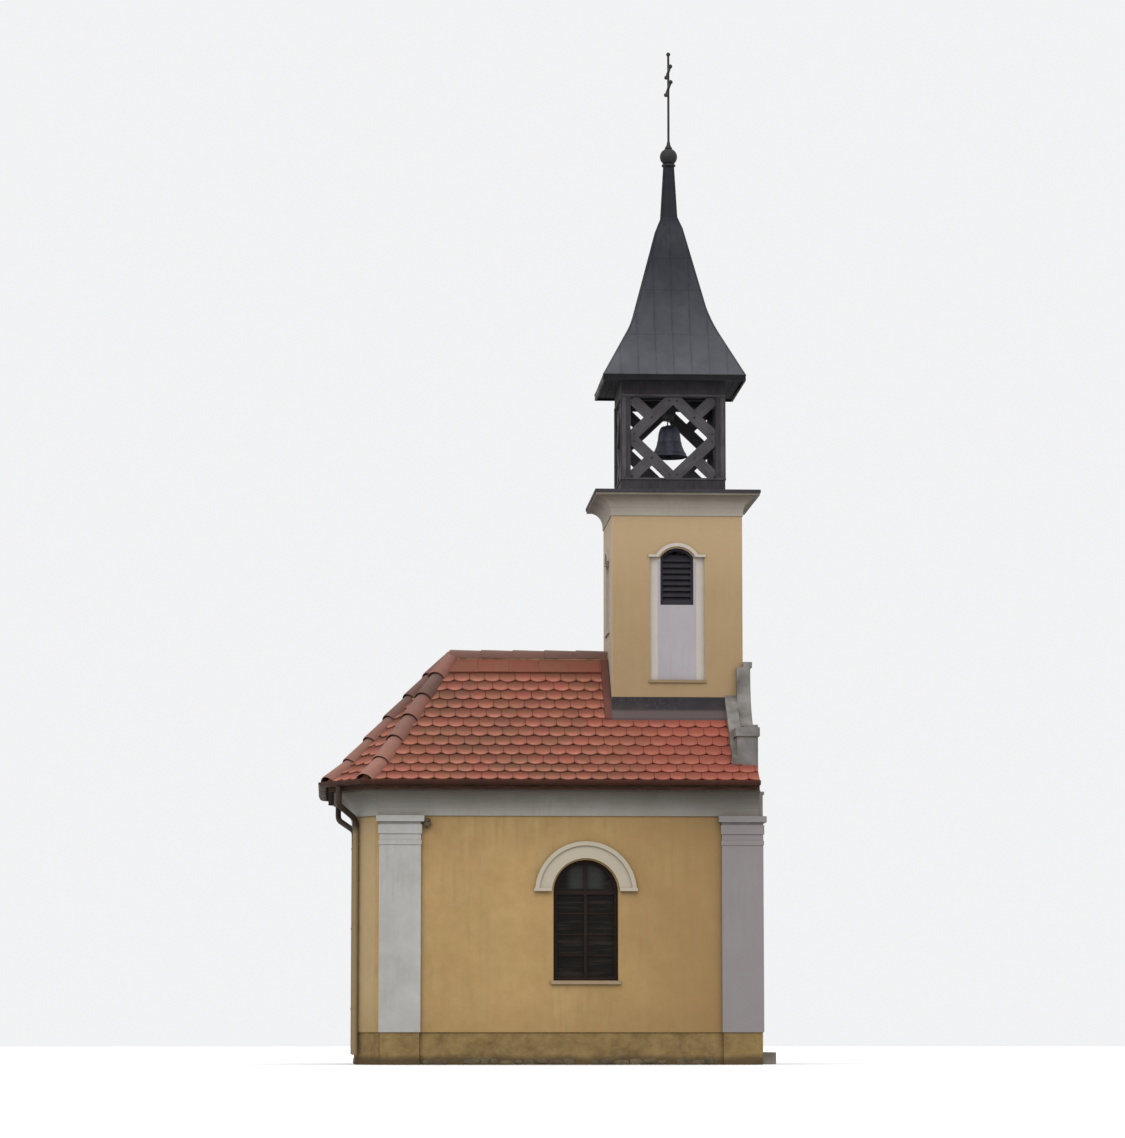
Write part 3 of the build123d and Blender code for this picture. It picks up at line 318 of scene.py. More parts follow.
class Effect(Nodes):
    """A shader group that materials share, with its inlets at their usual values."""

    def __init__(self, name, **inlets):
        super().__init__(bpy.data.node_groups.new(name, "ShaderNodeTree"))
        for label, value in inlets.items():
            self.add_socket(label, "INPUT", isinstance(value, tuple)).default_value = value
        self.given = self.tree.nodes.new("NodeGroupInput").outputs
        effects[name] = self.tree

    def add_socket(self, label, way, coloured):
        """An inlet or outlet of the group."""
        kind = "NodeSocketColor" if coloured else "NodeSocketFloat"
        return self.tree.interface.new_socket(label, in_out=way, socket_type=kind)

    def per(self, label):
        """1 divided by an inlet."""
        return self.reckon("DIVIDE", 1.0, self.given[label])

    def give(self, **results):
        """Adds the outlets, with what they give."""
        for label in results:
            self.add_socket(label, "OUTPUT", label == "Colour")
        outlets = self.tree.nodes.new("NodeGroupOutput").inputs
        for label, result in results.items():
            self.feed(outlets[label], result)


def build_mottle():
    """Soft patches of a given size: their mask, and two tints in them."""
    white, grey = (1.0, 1.0, 1.0, 1.0), (0.5, 0.5, 0.5, 1.0)
    effect = Effect("mottle", Size=0.5, Softness=0.15, First=white, Second=grey)
    cloud = effect.noise(effect.per("Size"), 5.0)
    low, high = (effect.reckon(kind, 0.5, effect.given["Softness"]) for kind in ("SUBTRACT", "ADD"))
    mask = effect.span(cloud, low, high)
    effect.give(Colour=effect.mixed(mask, effect.given["First"], effect.given["Second"]), Mask=mask)


def build_streaks():
    """Upright streaks, such as rain leaves below a ledge."""
    effect = Effect("streaks", Width=0.05, Length=0.8, Amount=0.5)
    wide = effect.per("Width")
    lines = effect.noise(1.0, 4.0, place=effect.scaled(effect.place(), wide, wide, effect.per("Length")))
    patches = effect.span(effect.noise(1.3, 2.0), 0.40, 0.65)
    effect.give(Mask=effect.times(effect.span(lines, 0.48, 0.72), patches, effect.given["Amount"]))


def build_grit():
    """Height of sanded or pitted surfaces: fine grain, and a share of broad swell."""
    effect = Effect("grit", Size=0.004, Swell=0.15, Share=0.5)
    fine = effect.noise(effect.per("Size"), 3.0, 0.65)
    broad = effect.times(effect.noise(effect.per("Swell")), effect.given["Share"])
    effect.give(Height=effect.reckon("ADD", fine, broad))


def build_dirt_and_shade_in_hollows():
    """Dirt and painted shade in corners and under ledges, found by ambient occlusion."""
    effect = Effect("dirt_and_shade_in_hollows", Reach=0.15, Amount=0.6)
    shade = effect.put("AmbientOcclusion", {"Distance": effect.given["Reach"]}, samples=6)["AO"]
    rough = effect.span(effect.noise(9.0, 4.0), 0.25, 0.65, 0.45, 1.0)
    effect.give(Mask=effect.times(effect.span(shade, 0.95, 0.35), rough, effect.given["Amount"]))


def build_worn():
    """Edges rubbed or chipped bare."""
    effect = Effect("worn", Radius=0.006, Amount=0.6)
    rounded = effect.put("Bevel", {"Radius": effect.given["Radius"]}, samples=4)[0]
    normals = {0: rounded, 1: effect.put("NewGeometry")["Normal"]}
    edge = effect.span(effect.put("VectorMath", normals, operation="DOT_PRODUCT")["Value"], 0.985, 0.80)
    chips = effect.span(effect.noise(32.0, 4.0), 0.42, 0.60)
    effect.give(Mask=effect.times(edge, chips, effect.given["Amount"]))


def build_splash():
    """Mud and damp that climb from the ground."""
    effect = Effect("splash", Height=0.35, Amount=0.7)
    height = effect.given["Height"]
    mask = effect.span(effect.ragged("Z", 2.6, height, 5.0), height, effect.times(height, 1.6), 1.0, 0.0)
    effect.give(Mask=effect.times(mask, effect.given["Amount"]))


def build_grain():
    """Grain of timber, along the third mark of a board, in metres."""
    effect = Effect("grain", Size=0.012)
    fine = effect.per("Size")
    lines = effect.noise(1.0, 5.0, 0.6, effect.scaled(effect.marked(), fine, fine, effect.times(fine, 0.05)))
    effect.give(Mask=effect.span(lines, 0.38, 0.62), Height=lines)


for build in (build_mottle, build_streaks, build_grit, build_dirt_and_shade_in_hollows, build_worn, build_splash, build_grain):
    build()


class Coat(Nodes):
    """A material in the making: its shader's inlets, and its colour as laid on so far."""

    def __init__(self, name, roughness, specular=0.25, metallic=0.0):
        self.material = bpy.data.materials.new(name)
        self.material.use_nodes = True
        super().__init__(self.material.node_tree)
        self.shader = self.tree.nodes["Principled BSDF"].inputs
        self.shader["Roughness"].default_value = roughness
        self.shader["Specular IOR Level"].default_value = specular
        self.shader["Metallic"].default_value = metallic
        self.colour = None
        finishes[name] = self.material

    def cover(self, share, over):
        """Lays a colour over the coat by share."""
        self.colour = self.mixed(share, self.colour, over)

    def lay(self, over, name, *values, share=None):
        """Lays a colour over the coat where an effect shows it."""
        mask = self.effect(name, *values)["Mask"]
        self.cover(mask if share is None else self.times(mask, share), over)

    def vary_gloss(self, scale, low, high):
        """Roughness that wanders between two values."""
        self.feed(self.shader["Roughness"], self.span(self.noise(scale, 4.0), 0.3, 0.7, low, high))

    def done(self, depth, *grit, height=None):
        """Shows the colour, and relief from grit or from another height."""
        if grit:
            height = self.effect("grit", *grit)["Height"]
        self.feed(self.shader["Base Color"], self.colour)
        bump = self.put("Bump", {"Height": height, "Distance": depth, "Strength": 1.0})[0]
        self.feed(self.shader["Normal"], bump)


# Finishes of the masonry

sanded = (0.006, 0.22, 2.4)   # grit of the plaster coats


def front_painted_shade(coat):
    """Painted shade that darkens the coats towards the front, in a soft uneven edge."""
    return coat.times(coat.span(coat.ragged("X", 1.1, 0.9), 0.6, 2.4), coat.band("Z", 4.2, 3.4))


def coat_ochre(coat):
    """Colour of the limewashed ochre walls."""
    fine = coat.patches(0.12, 0.22, (182, 152, 108), (158, 128, 82))
    coat.colour = coat.mixed(0.35, coat.patches(0.9, 0.16, (177, 146, 98), (163, 132, 88)), fine)
    coat.lay((160, 146, 88), "mottle", 0.33, 0.05, share=0.10)
    coat.lay((142, 116, 80), "streaks", 0.07, 1.1, 0.45)
    coat.lay((188, 166, 128), "streaks", 0.11, 0.7, 0.30)
    # Painted shade towards the front, laid as a darker ochre.
    coat.cover(coat.times(front_painted_shade(coat), 0.75), (142, 114, 76))


def coat_white(coat):
    """Colour of the whitewashed trim."""
    coat.colour = coat.patches(0.45, 0.2, (177, 177, 175), (163, 161, 157))
    coat.lay((150, 140, 122), "mottle", 0.07, 0.2, share=0.12)
    coat.lay((132, 118, 98), "streaks", 0.045, 0.6, 0.32)
    # Painted shade towards the front, laid as a darker grey.
    coat.cover(coat.times(front_painted_shade(coat), 0.8), (126, 120, 120))


def make_ochre_plaster():
    """Walls of the body: ochre limewash, streaked by rain, dirty at the foot, with dirt and painted shade in
    corners, and painted shade towards the front.
    """
    coat = Coat("ochre_plaster", 0.92, 0.2)
    coat_ochre(coat)
    coat.cover(coat.band("X", -2.19, -2.21, 0.0, 0.5), (174, 156, 124))      # paler round the apse
    # Dirt and painted shade in corners and under ledges.
    coat.lay((96, 82, 62), "dirt_and_shade_in_hollows", 0.22, 0.42)
    coat.cover(coat.band("Z", 0.85, 0.40, 0.0, 0.35), (140, 112, 72))
    coat.done(0.0022, *sanded)


def make_tower_plaster():
    """Tower walls: ochre faces, and white niches, labels and sills."""
    coat = Coat("tower_plaster", 0.92, 0.2)
    coat_ochre(coat)
    coat.cover(0.60, (160, 139, 111))
    from_axis = coat.put("VectorMath", {0: coat.place(), 1: (tower_x, 0.0, 0.0)}, operation="SUBTRACT")[0]
    from_axis = coat.parts(coat.put("VectorMath", {0: from_axis}, operation="ABSOLUTE")[0])
    out = coat.reckon("MAXIMUM", from_axis["X"], from_axis["Y"])
    off_face = coat.reckon("ABSOLUTE", coat.reckon("SUBTRACT", out, tower_half))
    coat.cover(coat.band("Z", 6.0, 6.9, 0.0, 0.45), (192, 166, 132))
    coat.cover(coat.band("Z", 6.2, 5.2, 0.0, 0.30), (146, 124, 94))
    coat.cover(coat.band("X", tower_x - 0.832, tower_x - 0.838, 0.0, 0.5), (190, 180, 168))
    ochre = coat.colour
    coat_white(coat)
    panel = coat.span(coat.reckon("MINIMUM", from_axis["X"], from_axis["Y"]), 0.252, 0.246)
    panel = coat.times(panel, coat.band("Z", 6.42, 6.40))
    # Greyer inner panel of each niche: painted shade of its recess.
    coat.cover(0.6, coat.mixed(panel, (196, 184, 168), (160, 153, 162)))
    # Brown sill under each niche: its dirt, and painted shade on its top.
    coat.cover(coat.band("Z", 4.892, 4.884), (142, 124, 96))
    coat.colour = coat.mixed(coat.span(off_face, 0.0025, 0.004), ochre, coat.colour)
    # Dirt and painted shade in corners and under ledges.
    coat.lay((104, 88, 70), "dirt_and_shade_in_hollows", 0.10, 0.40)
    coat.done(0.0022, *sanded)


def make_white_plaster(name, wash_and_shade=None, share=0.0, hollow_dirt_and_shade=0.5, shade_and_soot=None, spare_front=False, evenness=0.8):
    """Whitewashed trim, with clouds of another tint, a wash on some trims and painted shade on others, and
    soot with painted shade that darkens upwards.
    """
    coat = Coat(name, 0.9, 0.2)
    coat_white(coat)
    if wash_and_shade:
        cloud = coat.span(coat.effect("mottle", 0.25, 0.3)["Mask"], 0.0, 1.0, share * evenness, share)
        # Less of the tint on faces towards the front.
        if spare_front:
            cloud = coat.times(cloud, coat.span(coat.facing("X"), 0.5, 0.8, 1.0, 0.25))
        # The tint is a wash, and on the cove and the gable painted shade.
        coat.cover(cloud, wash_and_shade)
    if shade_and_soot:
        low, high, full = shade_and_soot
        # Soot and painted shade, darker upwards under the ledge above.
        coat.cover(coat.span(coat.ragged("Z", 2.2, 0.06), low, high, 0.0, full), (72, 66, 55))
    # Dirt and painted shade in corners and under ledges.
    coat.lay((92, 82, 68), "dirt_and_shade_in_hollows", 0.16, hollow_dirt_and_shade)
    coat.lay((160, 142, 112), "worn", 0.012, 0.4)
    coat.done(0.0016, *sanded)


def make_plinth_plaster():
    """Rough dark render of the plinth, mud-splashed and crumbling at its foot."""
    coat = Coat("plinth_plaster", 0.95, 0.15)
    coat.colour = coat.patches(0.30, 0.16, (140, 117, 75), (110, 90, 58))
    coat.lay((158, 136, 96), "mottle", 0.11, 0.10, share=0.30)
    coat.lay((74, 62, 46), "splash", 0.12, 0.75)
    # Dirt and painted shade in corners and under ledges.
    coat.lay((70, 58, 42), "dirt_and_shade_in_hollows", 0.12, 0.6)
    coat.done(0.007, 0.012, 0.09, 2.2)


def make_stone(name, first, second):
    """Worn stone, rubbed pale on its edges."""
    coat = Coat(name, 0.8, 0.3)
    coat.colour = coat.patches(0.14, 0.2, first, second)
    coat.lay((176, 170, 158), "worn", 0.015, 0.7)
    coat.done(0.003, 0.008, 0.10, 1.0)


# Finishes of the roof

def make_roof_tile():
    """Fired clay plain tiles: each its own tone, with a painted highlight at the tip and painted shade under
    the lap above, olive with lichen in patches.
    """
    coat = Coat("roof_tile", 0.82)
    marks = coat.parts(coat.marked())
    across, along = marks["X"], marks["Y"]
    coat.colour = coat.mixed(marks["Z"], (112, 69, 53), (148, 78, 64))
    coat.cover(0.42, coat.patches(1.0, 0.13, (108, 71, 53), (152, 76, 60)))
    coat.lay((110, 86, 54), "mottle", 0.42, 0.07, share=0.30)
    coat.lay((92, 62, 48), "mottle", 0.05, 0.12, share=0.18)
    from_tip = coat.reckon("SUBTRACT", along, coat.times(across, across, 4.9))
    # Painted highlight on the middle of each tile's tip.
    rim = coat.times(coat.span(from_tip, 0.020, 0.105, 1.0, 0.0),
                     coat.span(coat.reckon("ABSOLUTE", across), 0.035, 0.095, 1.0, 0.15),
                     coat.span(coat.noise(5.0), 0.35, 0.65, 0.35, 1.0), 0.66)
    coat.cover(rim, (186, 122, 102))
    # Painted shade under the lap of the course above and along each tip's edge, with some grime.
    lap_shade_and_grime = coat.reckon("MAXIMUM", coat.span(along, 0.10, 0.19), coat.span(from_tip, 0.010, 0.0))
    coat.cover(coat.times(lap_shade_and_grime, 0.55), (76, 38, 29))
    coat.cover(coat.span(coat.ragged("X", 1.6, 1.0), 0.9, 2.4, 0.0, 0.45), (152, 71, 60))
    coat.done(0.0022, 0.006, 0.07, 1.4)


def make_ridge_tile(name, first, second, top, foot=None):
    """Half-round ridge and hip tiles, greyed by the weather on their crowns."""
    coat = Coat(name, 0.85)
    coat.colour = coat.mixed(coat.parts(coat.marked())["Z"], first, second)
    coat.cover(coat.span(coat.facing("Z"), 0.62, 0.98, 0.0, 0.55), top)
    if foot:
        coat.cover(coat.band("Z", 4.7, 3.8, 0.0, 0.5), foot)
    coat.lay((104, 84, 64), "mottle", 0.08, 0.10, share=0.25)
    # Dirt and painted shade where the tiles lap.
    coat.lay((78, 56, 46), "dirt_and_shade_in_hollows", 0.05, 0.5)
    coat.done(0.0025, 0.006, 0.08, 1.4)


def make_slab():
    """Underside and edges of the roof: dark eaves timber; upper side, under the tiles, paler."""
    coat = Coat("roof_slab", 0.85, 0.2)
    lines = coat.noise(1.0, 5.0, place=coat.scaled(coat.place(), 7.0, 60.0, 60.0))
    coat.colour = coat.mixed(coat.span(lines, 0.4, 0.6), (58, 40, 30), (78, 55, 42))
    coat.cover(coat.span(coat.facing("Z"), 0.3, 0.5), (96, 62, 48))
    coat.done(0.002, height=lines)


def make_mortar():
    """Lime mortar that beds the ridge and hip tiles."""
    coat = Coat("bedding_mortar", 0.95, 0.15)
    coat.colour = coat.patches(0.12, 0.15, (150, 116, 92), (110, 92, 68))
    coat.done(0.006, 0.012, 0.06, 1.5)


def make_spire_sheet():
    """Dark painted sheet of the spire, paler towards its eave in painted light, as the flare faces more to
    the sky, and with painted shade on its fascia.
    """
    coat = Coat("spire_sheet", 0.6, 0.2)
    dark = coat.patches(0.4, 0.2, (40, 42, 50), (31, 32, 40))
    pale_painted_light = coat.patches(0.5, 0.2, (82, 83, 88), (66, 67, 74))
    # Painted light: the pale tint low on the flare, the dark tint higher up.
    coat.colour = coat.mixed(coat.span(coat.ragged("Z", 1.7, 0.5), 9.2, 10.7), pale_painted_light, dark)
    coat.lay((84, 84, 88), "streaks", 0.05, 0.9, 0.35)
    coat.lay((88, 88, 93), "worn", 0.006, 0.35)
    # Painted shade: the fascia under the eave near-black.
    coat.cover(coat.band("Z", 8.836, 8.828), (12, 12, 16))
    coat.cover(coat.band("Z", 10.88, 11.0, 0.0, 0.7), (24, 25, 31))
    coat.vary_gloss(4.0, 0.42, 0.68)
    coat.done(0.0016, 0.004, 0.30, 6.0)


def make_sheet(name, first, second, worn_tint, roughness, bands=()):
    """Painted sheet metal: chalked paint, rubbed seams, drips and dents, and bands of another tint."""
    coat = Coat(name, roughness)
    coat.colour = coat.patches(0.35, 0.2, first, second)
    coat.lay(worn_tint, "streaks", 0.035, 0.7, 0.45)
    coat.lay(worn_tint, "worn", 0.005, 0.35)
    for axis, clear, full, band_tint in bands:
        coat.cover(coat.band(axis, clear, full), band_tint)
    coat.vary_gloss(5.0, roughness - 0.1, roughness + 0.15)
    coat.done(0.0014, 0.003, 0.18, 3.0)


# Finishes of timber, metal and glass

def make_wood(name, first, second, bare, marked=False):
    """Weathered boards, with grain along a marked board or upright on a solid."""
    coat = Coat(name, 0.8)
    if marked:
        grain = coat.effect("grain", 0.010)
        lines, ripple = grain["Mask"], grain["Height"]
    else:
        ripple = coat.noise(1.0, 5.0, 0.6, coat.scaled(coat.place(), 90.0, 90.0, 5.0))
        lines = coat.span(ripple, 0.38, 0.62)
    coat.colour = coat.mixed(lines, first, second)
    coat.lay(bare, "mottle", 0.25, 0.12, share=0.35)
    coat.lay(bare, "worn", 0.006, 0.55)
    coat.done(0.0022, height=ripple)


def make_metal(name, first, second, roughness, metallic):
    """Cast or forged metal with a patchy skin."""
    coat = Coat(name, roughness, 0.5, metallic)
    coat.colour = coat.patches(0.06, 0.2, first, second)
    coat.lay(coat.mixed(0.5, second, (150, 140, 120)), "worn", 0.004, 0.5)
    coat.done(0.0012, 0.003, 0.05, 1.0)


def make_window_glass():
    """Old dark panes with dust, before an unlit room, and misted in the arch."""
    coat = Coat("window_glass", 0.22, 0.12)
    dust = coat.span(coat.noise(1.6, 5.0, place=coat.scaled(coat.place(), 1.2, 1.2, 16.0)), 0.46, 0.68)
    coat.colour = coat.mixed(coat.times(dust, 0.40), (20, 17, 14), (62, 52, 46))
    misted = coat.times(coat.band("Z", 2.175, 2.195), coat.band("X", 0.18, 0.27),
                        coat.band("X", 0.69, 0.60), 0.85)
    coat.cover(misted, (56, 57, 55))
    coat.feed(coat.shader["Roughness"], coat.span(dust, 0.0, 1.0, 0.18, 0.5))
    coat.done(0.002, height=coat.noise(6.0, 2.0))


for make in (make_ochre_plaster, make_tower_plaster, make_plinth_plaster, make_roof_tile, make_slab,
             make_mortar, make_spire_sheet, make_window_glass):
    make()

make_white_plaster("white_plaster")
# On the cove under the eaves the grey tint, the soot band and the dark hollows are dirt and painted shade.
make_white_plaster("cove_plaster", (142, 137, 124), 0.52, 0.52, shade_and_soot=(3.15, 3.41, 0.68))
# On the tower's cornice the soot band under the deck is soot and painted shade.
make_white_plaster("crown_plaster", (158, 149, 134), 0.75, 0.5, shade_and_soot=(7.19, 7.31, 0.72))
make_white_plaster("hood_plaster", (182, 170, 148), 0.85, 0.28)
make_white_plaster("sill_plaster", (148, 122, 86), 0.9, 0.4)
# On the gable the dark tint is painted shadow, lighter on faces towards the front.
make_white_plaster("gable_plaster", (78, 72, 67), 1.0, 0.55, spare_front=True, evenness=0.35)

make_stone("step_stone", (150, 145, 136), (118, 112, 102))
make_stone("rubble_stone", (104, 90, 66), (72, 62, 46))
make_stone("floor_stone", (140, 132, 120), (112, 104, 94))

make_ridge_tile("hip_tile", (92, 66, 60), (140, 90, 80), (116, 95, 90), (164, 114, 99))
make_ridge_tile("ridge_tile", (100, 76, 70), (114, 79, 72), (120, 104, 98))

make_sheet("dark_sheet", (56, 53, 58), (44, 42, 48), (76, 73, 76), 0.6)
make_sheet("brown_sheet", (72, 37, 25), (57, 31, 21), (96, 60, 44), 0.55)
make_sheet("pipe_sheet", (58, 46, 36), (46, 36, 28), (84, 68, 52), 0.55, [("Z", 2.98, 2.86, (136, 118, 86))])
make_sheet("apron_sheet", (50, 45, 48), (38, 36, 41), (92, 78, 74), 0.55,
           [("Z", 4.50, 4.46, (84, 72, 72)), ("X", 0.815, 0.805, (92, 52, 44))])

make_wood("lantern_wood", (43, 41, 45), (58, 55, 59), (72, 68, 70))
# Soffit boards near-black: painted shade under the spire's eave.
make_wood("soffit_wood", (15, 14, 20), (22, 21, 29), (30, 29, 36))
make_wood("louvre_wood", (34, 32, 37), (44, 42, 48), (58, 55, 60))
make_wood("lattice_wood", (58, 54, 58), (78, 74, 78), (94, 90, 92), marked=True)
make_wood("frame_wood", (24, 15, 9), (32, 20, 12), (44, 30, 19))
make_wood("door_wood", (52, 31, 18), (74, 45, 27), (96, 66, 44), marked=True)
make_wood("roof_timber", (120, 92, 66), (148, 116, 84), (164, 136, 104))

make_metal("bell_bronze", (98, 99, 112), (76, 78, 92), 0.5, 0.55)
make_metal("wrought_iron", (30, 30, 34), (42, 40, 40), 0.65, 0.2)
make_metal("fitting_glaze", (84, 73, 54), (62, 54, 40), 0.45, 0.0)

# Solids whose finish isn't named after their slot
chosen = {
    "tower_plaster": ("tower_wall_near", "tower_wall_far", "tower_wall_front", "tower_wall_rear"),
    "cove_plaster": ("side_cornices", "apse_cornice"),
    "crown_plaster": ("tower_cornice",),
    "hood_plaster": ("window_hoods", "door_hood"),
    "sill_plaster": ("window_sills",),
    "gable_plaster": ("front_gable",),
    "bedding_mortar": ("ridge_cap", "hip_caps"),
    "roof_slab": ("roof_near", "roof_far", "roof_apse_near", "roof_apse_end", "roof_apse_far"),
    "spire_sheet": ("spire",),
    "apron_sheet": ("tower_aprons",),
    "pipe_sheet": ("downpipes",),
    "soffit_wood": ("spire_soffit",),
    "louvre_wood": ("tower_louvres",),
}
finish_of = {row["node"]: row["material_slot"] for row in frame["record"]["subparts"]}
finish_of.update((node, finish) for finish, nodes in chosen.items() for node in nodes)
for node, part in frame["nodes"].items():
    part.data.materials.clear()
    part.data.materials.append(finishes[finish_of[node]])


# Roof tiles

def over_knee(value, knee, end, knee_result, end_result):
    """Carries a value from 0 over to the results at the knee and at the end of a bent line."""
    if value < knee:
        return value * knee_result / knee
    return knee_result + (value - knee) * (end_result - knee_result) / (end - knee)


class Slope:
    """One roof slope: its eave line, and the way in towards the ridge, seen from above."""

    def __init__(self, start, end, crown):
        self.start = Vector(start)
        self.width = (Vector(end) - self.start).length
        self.along = (Vector(end) - self.start).normalized()
        self.inward = Vector((-self.along.y, self.along.x))
        to_crown = Vector(crown) - self.start
        if self.inward.dot(to_crown) < 0:
            self.inward = -self.inward
        self.peak, self.run = to_crown.dot(self.along), to_crown.dot(self.inward)
        self.kick = self.run * kick_share
        self.kick_length = hypot(self.kick, knee_z - eave_z)
        self.length = self.kick_length + hypot(self.run - self.kick, ridge_z - knee_z)

    def inset(self, travel):
        """Level distance from the eave, for a distance up the slope."""
        return over_knee(travel, self.kick_length, self.length, self.kick, self.run)

    def travel(self, inset):
        """Distance up the slope, for a level distance from the eave."""
        return over_knee(inset, self.kick, self.run, self.kick_length, self.length)

    def normal(self, inset):
        """Outward direction square to the slab."""
        below = inset < self.kick
        rise = (knee_z - eave_z) / self.kick if below else (ridge_z - knee_z) / (self.run - self.kick)
        return Vector((-self.inward.x * rise, -self.inward.y * rise, 1.0)).normalized()

    def point(self, sideways, inset):
        """Point on the slab."""
        flat = self.start + self.along * sideways + self.inward * inset
        rise = over_knee(inset, self.kick, self.run, knee_z - eave_z, ridge_z - eave_z)
        return Vector((flat.x, flat.y, eave_z + rise))


def clipped(outline, cell):
    """The part of a convex outline that lies in a convex cell, both seen from above."""
    middle = Vector((sum(p[0] for p in cell) / len(cell), sum(p[1] for p in cell) / len(cell)))
    for i, corner in enumerate(cell):
        corner = Vector(corner)
        side = Vector(cell[(i + 1) % len(cell)]) - corner
        inner = Vector((-side.y, side.x))
        if inner.dot(middle - corner) < 0:
            inner = -inner
        kept = []
        for j, point in enumerate(outline):
            other = outline[(j + 1) % len(outline)]
            here = inner.dot(Vector(point) - corner)
            there = inner.dot(Vector(other) - corner)
            if here >= 0:
                kept.append(point)
            if here * there < 0:
                share = here / (here - there)
                kept.append(tuple(a + (b - a) * share for a, b in zip(point, other)))
        outline = kept
        if len(outline) < 3:
            return []
    return outline


def flat_area(outline):
    """Area inside an outline."""
    pairs = zip(outline, outline[1:] + outline[:1])
    return abs(sum(a[0] * b[1] - b[0] * a[1] for a, b in pairs)) / 2


def tile_edge(half, length, rise):
    """Outline of a plain tile with a rounded tip, its tip's middle at 0, 0."""
    radius = (half * half + rise * rise) / (2 * rise)
    shares = (-1.0, -0.72, -0.38, 0.0, 0.38, 0.72, 1.0)
    edge = [(half * s, radius - sqrt(radius ** 2 - (half * s) ** 2)) for s in shares]
    return edge + [(half, length), (-half, length)]


def add_tile(form, slope, cells, middle, tip, edge, dice, lift, thickness, plain):
    """One tile at a place on a slope, cut to the cells that it reaches."""
    turn = dice.uniform(-0.010, 0.010)
    tip += dice.uniform(-0.004, 0.004)
    lift += dice.uniform(-0.0015, 0.0015)
    lean = dice.uniform(-0.012, 0.012)
    tone = dice.random()
    placed = [(middle + a - b * turn, slope.inset(tip + b + a * turn)) for a, b in edge]
    smallest = 0.0004
    for cell in cells:
        outline = clipped(placed, cell)
        if len(outline) < 3 or flat_area(outline) < smallest:
            continue
        centre = Vector((sum(p[0] for p in outline), sum(p[1] for p in outline))) / len(outline)
        normal = slope.normal(slope.inset(tip + course_gauge / 2))
        rings, marks = [], []
        for inward, drop in ((0.0, thickness), (0.0, tile_chamfer * 0.7), (tile_chamfer, 0.0)):
            ring = []
            for sideways, inset in outline:
                along = slope.travel(inset) - tip
                flat = Vector((sideways, inset))
                spot = flat + (centre - flat).normalized() * inward
                height = lift - tile_fall * along + (sideways - middle) * lean - drop
                ring.append(slope.point(*spot) + normal * height)
                marks.append((0.09, 0.14, tone) if plain else (sideways - middle, along, tone))
            rings.append(ring)
        form.rings(rings, marks)


def tile_slope(name, slope, cells, dice, full_length):
    """All plain tiles of one slope in staggered courses, and the plain top course."""
    form = Form()
    gauge = course_gauge * slope.length / full_length
    edge = tile_edge((tile_pitch - tile_gap) / 2, gauge + tile_lap, tile_tip_rise)
    low, high = (pick(point[0] for cell in cells for point in cell) for pick in (min, max))
    count = int((high - low) / tile_pitch) + 3
    for course in range(course_count):
        tip = -eave_lap + course * gauge
        for column in range(-1, count):
            middle = low + (column + (0.5 if course % 2 else 0.0)) * tile_pitch
            add_tile(form, slope, cells, middle, tip, edge, dice, tile_tip_lift, tile_thickness, False)
    tip = -eave_lap + course_count * gauge
    long = slope.length - tip
    band = [(-tile_pitch, 0.0), (tile_pitch, 0.0), (tile_pitch, long), (-tile_pitch, long)]
    for column in range(-1, count // 2 + 1):
        middle = low + (column + 0.3) * 2.0 * tile_pitch
        add_tile(form, slope, cells, middle, tip + 0.010, band, dice, band_lift, band_thickness, True)
    make_piece(name, form, "roof_tile")


def side_cells(slope):
    """Where the long slopes carry tiles, seen from above: behind, beside and before the tower."""
    hip_lean = slope.peak / slope.run
    strip, shoulder, verge = (x - slope.start.x for x in (strip_x, shoulder_x, verge_x))
    beside, before = slope.run - apron_foot_y, slope.run - shoulder_y
    low, top = -past_eave, slope.run
    return [
        [(low * hip_lean, low), (strip, low), (strip, top), (slope.peak, top)],
        [(strip, low), (shoulder, low), (shoulder, beside), (strip, beside)],
        [(shoulder, low), (verge, low), (verge, before), (shoulder, before)],
    ]


def apse_cells(slope):
    """The triangle of an apse slope, seen from above."""
    low_left = slope.peak * -past_eave / slope.run
    low_right = slope.width + (slope.peak - slope.width) * -past_eave / slope.run
    return [[(low_left, -past_eave), (low_right, -past_eave), (slope.peak, slope.run)]]


def dress_roof():
    """Plain tiles on the five slopes."""
    dice = random.Random(seed)
    near_eave, near_end = ((x, -y) for x, y in (eave_corner, end_corner))
    crown = (crown_x, 0.0)
    near = Slope(near_eave, (verge_x, near_eave[1]), crown)
    far = Slope(eave_corner, (verge_x, eave_corner[1]), crown)
    for name, slope in (("tiles_near", near), ("tiles_far", far)):
        tile_slope(name, slope, side_cells(slope), dice, near.length)
    for name, start, end in (("tiles_apse_end", near_end, end_corner),
                             ("tiles_apse_near", near_end, near_eave),
                             ("tiles_apse_far", end_corner, eave_corner)):
        slope = Slope(start, end, crown)
        tile_slope(name, slope, apse_cells(slope), dice, near.length)


